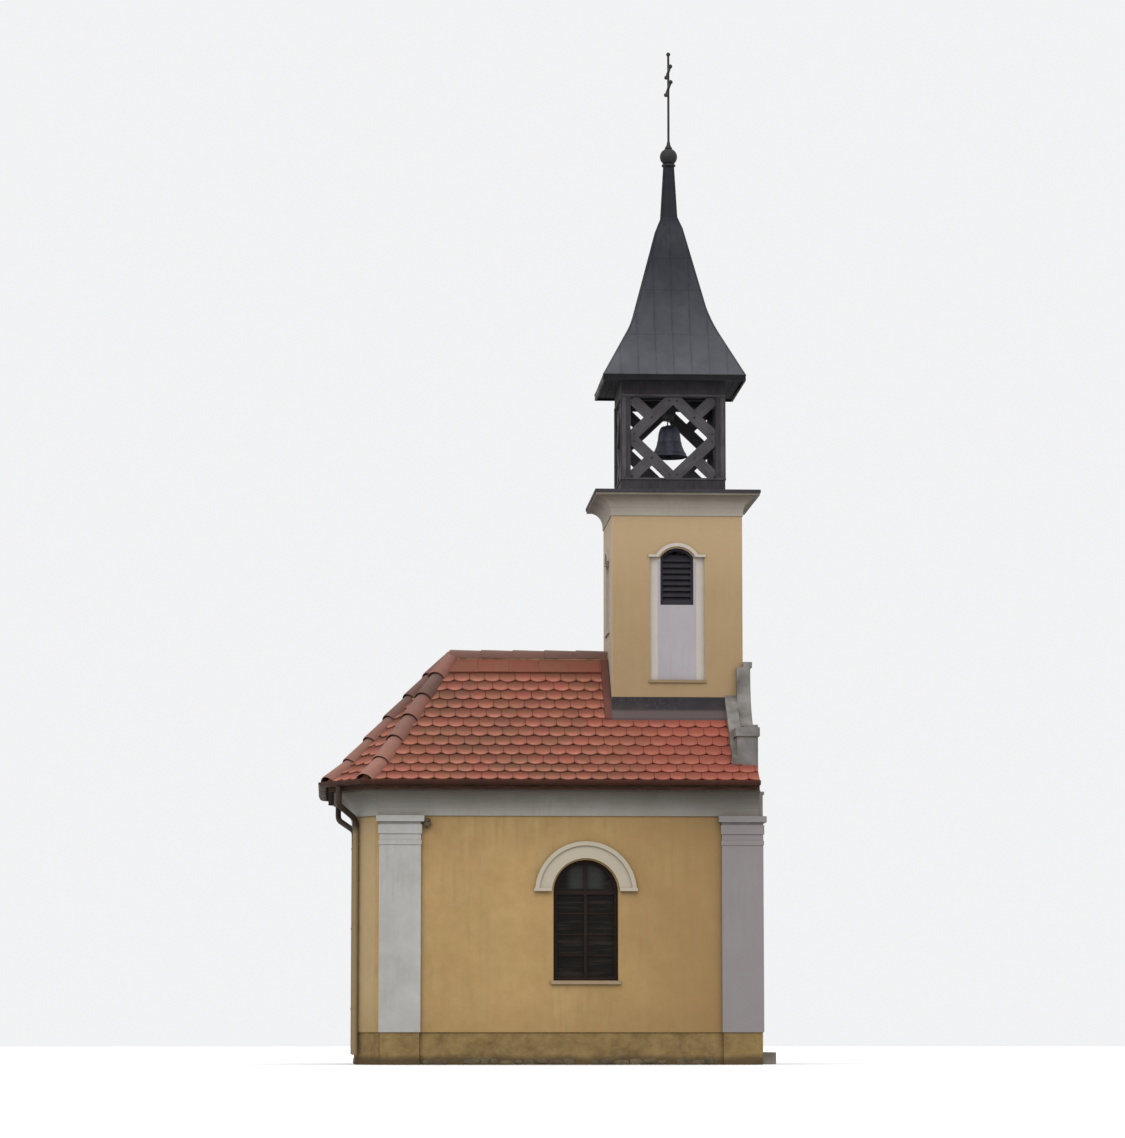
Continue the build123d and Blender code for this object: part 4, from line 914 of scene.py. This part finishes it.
def add_half_round(form, start, end, up, low_radius, high_radius, tone):
    """A tapered half-round tile from its low, wide end to its high, narrow end."""
    run = (end - start).normalized()
    side = run.cross(up).normalized()
    top = side.cross(run)
    steps = 12
    angles = [radians(-half_round_arc / 2 + half_round_arc * k / steps) for k in range(steps + 1)]
    rings = []
    for share in (0.0, 0.03, 0.97, 1.0):
        radius = low_radius + (high_radius - low_radius) * share
        eased = 0.004 if share in (0.0, 1.0) else 0.0
        skin = [(radius - eased, t) for t in angles]
        skin += [(radius - half_round_sheet + eased, t) for t in reversed(angles)]
        centre = start + (end - start) * share
        rings.append([centre + side * (r * sin(t)) + top * (r * cos(t)) for r, t in skin])
    form.rings(rings, [(0.0, 0.0, tone)] * (len(rings) * len(rings[0])))


def lay_half_rounds(form, points, count, low_radius, high_radius, dice, lap, lift, red_share=1.0):
    """Lapped half-round tiles along a bent line, from its foot to its head."""
    points = [Vector(point) for point in points]
    lengths = [(b - a).length for a, b in zip(points, points[1:])]
    total = sum(lengths)

    def at(travel):
        """Point on the line."""
        for a, b, length in zip(points, points[1:], lengths):
            if travel <= length or b is points[-1]:
                return a + (b - a) * (travel / length)
            travel -= length

    step = total / count
    for i in range(count):
        foot, head = at(i * step), at(min((i + 1) * step + lap, total))
        run = (head - foot).normalized()
        side = run.cross(upright).normalized()
        top = side.cross(run)
        sway = side * dice.uniform(-0.006, 0.006)
        add_half_round(form, foot + top * lift + sway, head + sway * 0.3, top, low_radius, high_radius,
                       dice.random() * red_share)


def dress_ridge():
    """Lapped half-round tiles on the ridge and on the four hips."""
    dice = random.Random(seed + 1)
    head = Vector((crown_x, 0.0, ridge_z - ridge_drop))
    ridge = Form()
    ridge_line = [(crown_x - 0.03, 0.0, head.z), (tower_rear - 0.008, 0.0, head.z)]
    lay_half_rounds(ridge, ridge_line, *ridge_rounds, dice, lap=0.04, lift=0.004)
    make_piece("ridge_tiles", ridge, "ridge_tile", smooth=40)
    hips = Form()
    inner = 1 - kick_share
    for side in (-1, 1):
        for x, y in (eave_corner, end_corner):
            foot = Vector((x, side * y, eave_z - ridge_drop))
            knee = Vector((crown_x + (x - crown_x) * inner, side * y * inner, knee_z - ridge_drop))
            line = [foot + (knee - foot).normalized() * 0.012, knee,
                    head + (knee - head).normalized() * 0.05]
            lay_half_rounds(hips, line, *hip_rounds, dice, lap=0.05, lift=0.016,
                            red_share=1.0 if x == eave_corner[0] else 0.3)
    make_piece("hip_tiles", hips, "hip_tile", smooth=40)


# Lantern

def add_plank(form, quarter, start, end, cell, depth, dice, width=board_width, thickness=board_thickness):
    """A board on one side of the lantern, cut to a convex cell, with its grain marked.

    Its ends are given as places sideways and above the ground, and depth is from the posts' faces.
    """
    start, end = Vector(start), Vector(end)
    run = (end - start).normalized()
    across = Vector((-run.y, run.x)) * (width / 2)
    outline = clipped([tuple(p) for p in (start - across, end - across, end + across, start + across)], cell)
    shift = dice.uniform(0, 30)
    rings, marks = [], []
    for inner in (0.0, thickness):
        rings.append([spun(quarter, x, depth + inner - lantern_half, z) for x, z in outline])
        for corner in outline:
            offset = Vector(corner) - start
            marks.append((offset.dot(across.normalized()) + shift, inner, offset.dot(run) + shift))
    form.rings(rings, marks)


def dress_lattice():
    """Boards in a diamond, half-lapped at its corners, with a bolted brace from each corner."""
    dice = random.Random(seed + 2)
    middle = (lattice_low + lattice_high) / 2
    rise = (lattice_high - lattice_low) / 2
    joint = 0.0006
    reach = board_width * hypot(lattice_half, rise) / 2 + joint
    bolt_depth, bolt_size = lattice_face + 0.0025 - lantern_half, (0.015, 0.009)
    window = [(-lattice_half, lattice_low), (lattice_half, lattice_low),
              (lattice_half, lattice_high), (-lattice_half, lattice_high)]
    bolts = Form()
    for quarter, name in enumerate(("near", "front", "far", "rear")):
        form = Form()
        outward = spun(quarter, 0, -1, 0, 0)
        for turn in (1, -1):
            for up in (1, -1):
                tip, hip = Vector((0.0, middle + up * rise)), Vector((turn * lattice_half, middle))
                spare = (hip - tip).normalized() * board_width
                depth = lattice_face + (0.002 if turn * up > 0 else 0.0)
                add_plank(form, quarter, tip - spare, hip + spare, window, depth, dice)
                corner = Vector((turn * lattice_half, middle + up * rise))
                cell = [tuple(corner), (turn * reach / rise, corner.y),
                        (corner.x, middle + up * reach / lattice_half)]
                heart = (tip + hip) / 2
                away = (corner - heart).normalized() * board_width
                add_plank(form, quarter, heart, corner + away, cell, lattice_face + 0.001, dice)
                for spot in (heart, tip.lerp(hip, 0.09), tip.lerp(hip, 0.91), heart.lerp(corner, 0.93)):
                    add_dome(bolts, spun(quarter, spot.x, bolt_depth, spot.y), outward, *bolt_size)
        make_piece("lattice_boards_" + name, form, "lattice_wood", bevel=0.003,
                   stands_for=("lattice_" + name,))
    make_piece("lattice_bolts", bolts, "wrought_iron", smooth=50)


def dress_lantern():
    """Drip boards at the foot, cover strips on the posts and a bead under the top timber."""
    dice = random.Random(seed + 3)
    form = Form()
    end = lantern_half + 0.012
    cell = [(-end, 0.0), (end, 0.0), (end, 20.0), (-end, 20.0)]
    for quarter in range(4):
        for z, depth, width, thickness in ((lantern_base + 0.022, -0.012, 0.042, 0.0115),
                                           (lattice_low - 0.012, -0.010, 0.024, 0.0095),
                                           (lattice_high + 0.020, -0.008, 0.030, 0.0075)):
            add_plank(form, quarter, (-lantern_half, z), (lantern_half, z), cell, depth, dice,
                      width, thickness)
        for x in (0.034 - lantern_half, lantern_half - 0.034):
            add_plank(form, quarter, (x, lattice_low + 0.002), (x, lattice_high - 0.002), cell, -0.007, dice,
                      0.052, 0.0068)
    make_piece("lantern_strips", form, "lattice_wood", bevel=0.002)


def face_line(quarter, offset):
    """Points up one face of the spire at a distance from its middle, until the hips close in."""
    points = []
    for (low_half, low_z), (high_half, high_z) in zip(spire_outline, spire_outline[1:]):
        if low_half <= abs(offset):
            break
        points.append((low_half, low_z))
        if high_half < abs(offset):
            share = (low_half - abs(offset)) / (low_half - high_half)
            points.append((abs(offset), low_z + (high_z - low_z) * share))
    return [spun(quarter, offset, -half, z) for half, z in points]


def dress_spire():
    """Standing seams of the sheets, rolled hips, and the lapped edge along the eave."""
    form = Form()
    seam_spacing, seam_size, lap_size, hip_radius = 0.23, (0.006, 0.013), (0.020, 0.005), 0.009
    laps = ((0.917, 8.824, 0.55), (0.607, 9.402, 0.26), (0.381, 10.033, 0.26), (0.268, 10.475, 0.26))
    for quarter in range(4):
        outward, across = spun(quarter, 0, -1, 0, 0), spun(quarter, 1, 0, 0, 0)
        for k in range(-3, 4):
            line = face_line(quarter, k * seam_spacing)
            for start, end in zip(line, line[1:]):
                add_board(form, start, end, across, *seam_size)
        for half, z, lean in laps:
            add_board(form, spun(quarter, -half, -half, z), spun(quarter, half, -half, z),
                      upright - outward * lean, *lap_size)
        add_bar(form, [spun(quarter, half, -half, z) for half, z in spire_outline], hip_radius, 8)
    make_piece("spire_seams", form, "spire_sheet", bevel=0.0015)


def dress_soffit():
    """Boards under the spire's eave, round the lantern, two on each side."""
    form = Form()
    inner, outer, z = lantern_half + 0.004, 0.893, 8.783
    wide = (outer - inner) / 2
    size = (wide - 0.005, 0.013)
    for side in (-1, 1):
        for near in (side * (inner + wide * 0.5), side * (inner + wide * 1.5)):
            add_board(form, (lantern_x - outer, near, z), (lantern_x + outer, near, z), (0, -1, 0), *size)
            add_board(form, (lantern_x + near, -inner, z), (lantern_x + near, inner, z), (1, 0, 0), *size)
    make_piece("soffit_boards", form, "soffit_wood", bevel=0.0015)


def dress_deck():
    """Standing seams and drip edges of the sheet deck round the lantern."""
    form = Form()
    foot, half_spacing, edge_z = lantern_half + 0.014, 0.24, 7.300
    seam_size, drip_size = (0.006, 0.020), (0.040, 0.012)
    for quarter in range(4):
        for k in (-3, -1, 1, 3):
            add_board(form, spun(quarter, k * half_spacing, -foot, lantern_base + 0.004, tower_x),
                      spun(quarter, k * half_spacing, -deck_half, edge_z + 0.005, tower_x),
                      spun(quarter, 1, 0, 0, 0), *seam_size)
        add_board(form, spun(quarter, -deck_half, -deck_half, edge_z, tower_x),
                  spun(quarter, deck_half, -deck_half, edge_z, tower_x), upright, *drip_size)
    make_piece("deck_seams", form, "dark_sheet", bevel=0.0015)


def dress_ball():
    """Collar at the foot of the cross and a ring at the neck under the ball."""
    form = Form()
    collar = ((0.046, 11.966), (0.052, 11.974), (0.044, 11.988), (0.026, 12.020), (0.019, 12.062),
              (0.0165, 12.066))
    ring = ((0.082, 11.728), (0.092, 11.738), (0.092, 11.752), (0.078, 11.764), (0.060, 11.768))
    for profile in (collar, ring):
        add_turned(form, lantern_x, 0.0, profile, 24)
    make_piece("ball_collars", form, "wrought_iron", smooth=40)


def dress_bell():
    """Mouldings cast round the bell, and the straps and bolts of its headstock."""
    beads, around = Form(), 40
    for radius, height, thick in ((0.2335, 7.878, 0.006), (0.2155, 7.918, 0.005), (0.1605, 8.050, 0.004),
                                  (0.1575, 8.064, 0.004), (0.1345, 8.195, 0.004)):
        for k in range(around):
            pair = []
            for t in (2 * pi * k / around, 2 * pi * (k + 1) / around):
                middle = Vector((lantern_x + radius * cos(t), radius * sin(t), height))
                pair.append(circle(middle, Vector((cos(t), sin(t), 0)), upright, thick, 8))
            beads.rings(pair)
    make_piece("bell_mouldings", beads, "bell_bronze", body="bell", smooth=60)

    straps, iron = Form(), (0.034, 0.005)
    for y in (-0.17, 0.17):
        for x in (lantern_x - headstock_half, lantern_x + headstock_half):
            add_board(straps, (x, y, 8.386), (x, y, 8.524), (0, 1, 0), *iron)
        for z in (8.3865, 8.5215):
            add_board(straps, (lantern_x - 0.065, y, z), (lantern_x + 0.065, y, z), (0, 1, 0), *iron)
    for x in (-0.022, 0.022):
        for y in (-0.022, 0.022):
            add_dome(straps, (lantern_x + x, y, 8.519), upright, 0.011, 0.009)
    for y in (-0.312, 0.312):
        straps.rings([[(lantern_x + r * cos(t), y + d, gudgeon_z + r * sin(t)) for t in turns(20)]
                      for r, d in ((0.040, -0.003), (0.043, 0.0), (0.040, 0.003))])
    make_piece("headstock_straps", straps, "wrought_iron", body="bell", bevel=0.0012)


# Eaves

def dress_gutters():
    """Straps that hold the gutters."""
    form = Form()
    radius, rim, out_reach, half_width = 0.0635, 3.517, 0.062, 0.014

    def strap(x, y, out):
        """A strap under the gutter, at a place on its centre line."""
        middle, out = Vector((x, y, rim)), Vector(out)
        side = Vector((-out.y, out.x, 0)) * half_width
        rings = []
        for k in range(13):
            t = pi + pi * k / 12
            spoke = out * cos(t) + Vector((0, 0, sin(t)))
            inner, outer = middle + spoke * (radius - 0.001), middle + spoke * (radius + 0.0035)
            rings.append([inner - side, outer - side, outer + side, inner + side])
        form.rings(rings)

    side_start, side_step, end_start, end_step = -2.05, 0.57, -1.30, 0.65
    for side in (-1, 1):
        for k in range(9):
            strap(side_start + side_step * k, side * (eave_corner[1] + out_reach), (0, side, 0))
    for k in range(5):
        strap(end_corner[0] - out_reach, end_start + end_step * k, (-1, 0, 0))
    make_piece("gutter_straps", form, "brown_sheet", bevel=0.0008)


def dress_fitting():
    """A small glazed fitting on its hook, beside the capital of the near pilaster."""
    x, y, form = -1.553, -1.935, Form()
    add_bar(form, [(x, -1.873, 2.935), (x, -1.925, 2.935), (x, y, 2.945), (x, y, 2.975)], 0.008, 10)
    add_turned(form, x, y, ((0.030, 2.952), (0.045, 2.958), (0.046, 2.996), (0.032, 3.006), (0.041, 3.016),
                            (0.041, 3.036), (0.026, 3.048), (0.010, 3.052)), 20)
    make_piece("wall_fitting", form, "fitting_glaze", smooth=50)


# Door and windows

def dress_door():
    """Upright boards on both leaves, strap hinges, a ring handle and a lock plate."""
    dice = random.Random(seed + 5)
    boards, irons = Form(), Form()
    face, low, spring, half = 2.463, 0.160, 2.000, 0.479     # front, foot, arch's spring and half width
    rim, gap, count = 0.004, 0.003, 4
    hinge_heights, hinge_end, hinge_size = (0.46, 1.10, 1.74), 0.14, (0.042, 0.005)
    rivets, rivet_size = (0.17, 0.30, 0.43), (0.009, 0.006)
    radius = half - rim
    wide = radius / count
    for side in (-1, 1):
        for k in range(count):
            near, far = gap + wide * k, wide * (k + 1)
            top, high = (spring + sqrt(max(radius ** 2 - y ** 2, 0.0)) for y in (far, near))
            outline = ((near, low), (far, low), (far, top), (near, high))
            shift = dice.uniform(0, 20)
            rings, marks = [], []
            for depth in (-0.001, 0.008):
                rings.append([(face + depth, side * y, z) for y, z in outline])
                marks.extend([(y + shift, depth, z + shift) for y, z in outline])
            boards.rings(rings, marks)
        for z in hinge_heights:
            add_board(irons, (face + 0.0095, side * (half - 0.012), z), (face + 0.0095, side * hinge_end, z),
                      upright, *hinge_size)
            for y in rivets:
                add_dome(irons, (face + 0.0115, side * y, z), (1, 0, 0), *rivet_size)
    lock_y, ring_z, ring_radius = -0.05, 1.135, 0.035
    add_board(irons, (face + 0.010, lock_y, 1.02), (face + 0.010, lock_y, 1.22), (0, 1, 0), 0.048, 0.006)
    add_bar(irons, [(face + 0.020, lock_y + ring_radius * sin(t), ring_z - ring_radius * cos(t))
                    for t in turns(20)], 0.0055, 8)
    add_dome(irons, (face + 0.0125, lock_y, ring_z + ring_radius), (1, 0, 0), 0.014, 0.010)
    make_piece("door_boards", boards, "door_wood", bevel=0.002)
    make_piece("door_irons", irons, "wrought_iron", bevel=0.0012)


def dress_windows():
    """Thin glazing bars before the panes of each window."""
    bars = Form()
    middle, half, low, spring, face = 0.427, 0.357, 1.09, 2.135, 1.765
    for y in (-face, face):
        for k in range(1, 4):
            z = low + (spring - low) * k / 4
            add_board(bars, (middle - half, y, z), (middle + half, y, z), upright, 0.016, 0.022)
    make_piece("window_bars", bars, "frame_wood", bevel=0.0015)


def dress_foot():
    """Fieldstones that show in a low course where the render has come off at the plinth's foot."""
    dice = random.Random(seed + 6)
    form = Form()
    side_face, end_face = 1.860, -2.437       # of the plinth

    def boxy(value):
        """A sine or cosine drawn out, so that a circle becomes a rounded block."""
        return abs(value) ** 0.6 * (1 if value >= 0 else -1)

    def stone(centre, run, out, wide, high):
        """A rough rounded stone bedded in the plinth's face."""
        around = turns(14)
        grain = [dice.uniform(0.86, 1.06) for t in around]
        rings = []
        for depth, share in ((-0.020, 1.0), (0.004, 0.98), (0.010, 0.86), (0.013, 0.55)):
            ring = []
            for t, rough in zip(around, grain):
                spot = centre + run * (boxy(cos(t)) * wide / 2 * share * rough) + out * depth
                ring.append((spot.x, spot.y, max(spot.z + boxy(sin(t)) * high / 2 * share * rough, 0.001)))
            rings.append(ring)
        form.rings(rings)

    def course(start, end, out):
        """A broken course of stones along the foot of one face."""
        start, end, out = Vector(start), Vector(end), Vector(out)
        run = (end - start).normalized()
        travel, length = 0.05, (end - start).length
        while travel < length - 0.2:
            wide, high = dice.uniform(0.09, 0.21), dice.uniform(0.05, 0.085)
            if dice.random() < 0.78:
                middle = start + run * (travel + wide / 2) + upright * dice.uniform(0.024, 0.044)
                stone(middle, run, out, wide, high)
            travel += wide + 0.012

    for side in (-1, 1):
        course((-2.02, side * side_face, 0), (2.2, side * side_face, 0), (0, side, 0))
    course((end_face, -1.25, 0), (end_face, 1.25, 0), (-1, 0, 0))
    make_piece("plinth_stones", form, "rubble_stone", smooth=50)


# Light, floor and camera

def set_studio():
    """Soft even light from a pale sky, a pale floor, and a white background."""
    scene = bpy.context.scene
    scene.view_settings.view_transform = "Standard"
    scene.world = bpy.data.worlds.new("studio")
    scene.world.use_nodes = True
    sky = Nodes(scene.world.node_tree)
    ray = sky.put("LightPath")
    seen = sky.reckon("MAXIMUM", ray["Is Camera Ray"], ray["Is Glossy Ray"])
    seen = sky.reckon("MAXIMUM", seen, ray["Is Transmission Ray"])
    glow = sky.span(sky.parts(sky.put("TexCoord")["Generated"])["Z"], -0.2, 0.9, 0.56, 1.29)
    back = sky.tree.nodes["Background"].inputs
    sky.feed(back["Color"], (0.985, 0.99, 1.0, 1.0))
    sky.feed(back["Strength"], sky.put("Mix", {0: seen, 2: glow, 3: 0.90}, data_type="FLOAT")[0])

    for name, energy, width, direction in (("key", 1.06, 50, (0.35, 0.85, -0.75)),
                                           ("fill", 0.40, 60, (-0.6, 0.6, -0.6)),
                                           ("rear", 0.46, 60, (-0.2, -0.8, -0.8))):
        lamp = bpy.data.lights.new(name, "SUN")
        lamp.energy = energy
        lamp.angle = radians(width)
        holder = bpy.data.objects.new(name, lamp)
        holder.rotation_euler = Vector(direction).to_track_quat("-Z", "Y").to_euler()
        scene.collection.objects.link(holder)

    mesh = bpy.data.meshes.new("floor_plane")
    reach, floor_z = 150.0, -0.002
    mesh.from_pydata([(x * reach, y * reach, floor_z) for x, y in ((-1, -1), (1, -1), (1, 1), (-1, 1))], [],
                     [(0, 1, 2, 3)])
    floor = bpy.data.objects.new("floor_plane", mesh)
    scene.collection.objects.link(floor)
    coat = Coat("pale_floor", 0.95, 0.0)
    tones = {6: (0.42, 0.42, 0.42, 1.0), 7: (0.80, 0.80, 0.80, 1.0)}
    tones[0] = coat.put("LightPath")["Is Camera Ray"]
    coat.feed(coat.shader["Base Color"], coat.put("Mix", tones, data_type="RGBA")[2])
    mesh.materials.append(coat.material)


def set_camera():
    """A long lens near the ground, from the near side."""
    lens = bpy.data.cameras.new("camera")
    lens.lens = 136.03
    lens.sensor_width = 36.0
    lens.clip_end = 400.0
    camera = bpy.data.objects.new("camera", lens)
    camera.location = (-2.7327, -55.5393, 0.3)
    yaw, pitch = radians(3.0592), radians(6.2559)
    looking = Vector((sin(yaw) * cos(pitch), cos(yaw) * cos(pitch), sin(pitch)))
    camera.rotation_euler = looking.to_track_quat("-Z", "Y").to_euler()
    bpy.context.scene.collection.objects.link(camera)
    bpy.context.scene.camera = camera


for dress in (dress_roof, dress_ridge, dress_lattice, dress_lantern, dress_spire, dress_soffit, dress_deck,
              dress_ball, dress_bell, dress_gutters, dress_fitting, dress_door, dress_windows, dress_foot):
    dress()
set_studio()
set_camera()
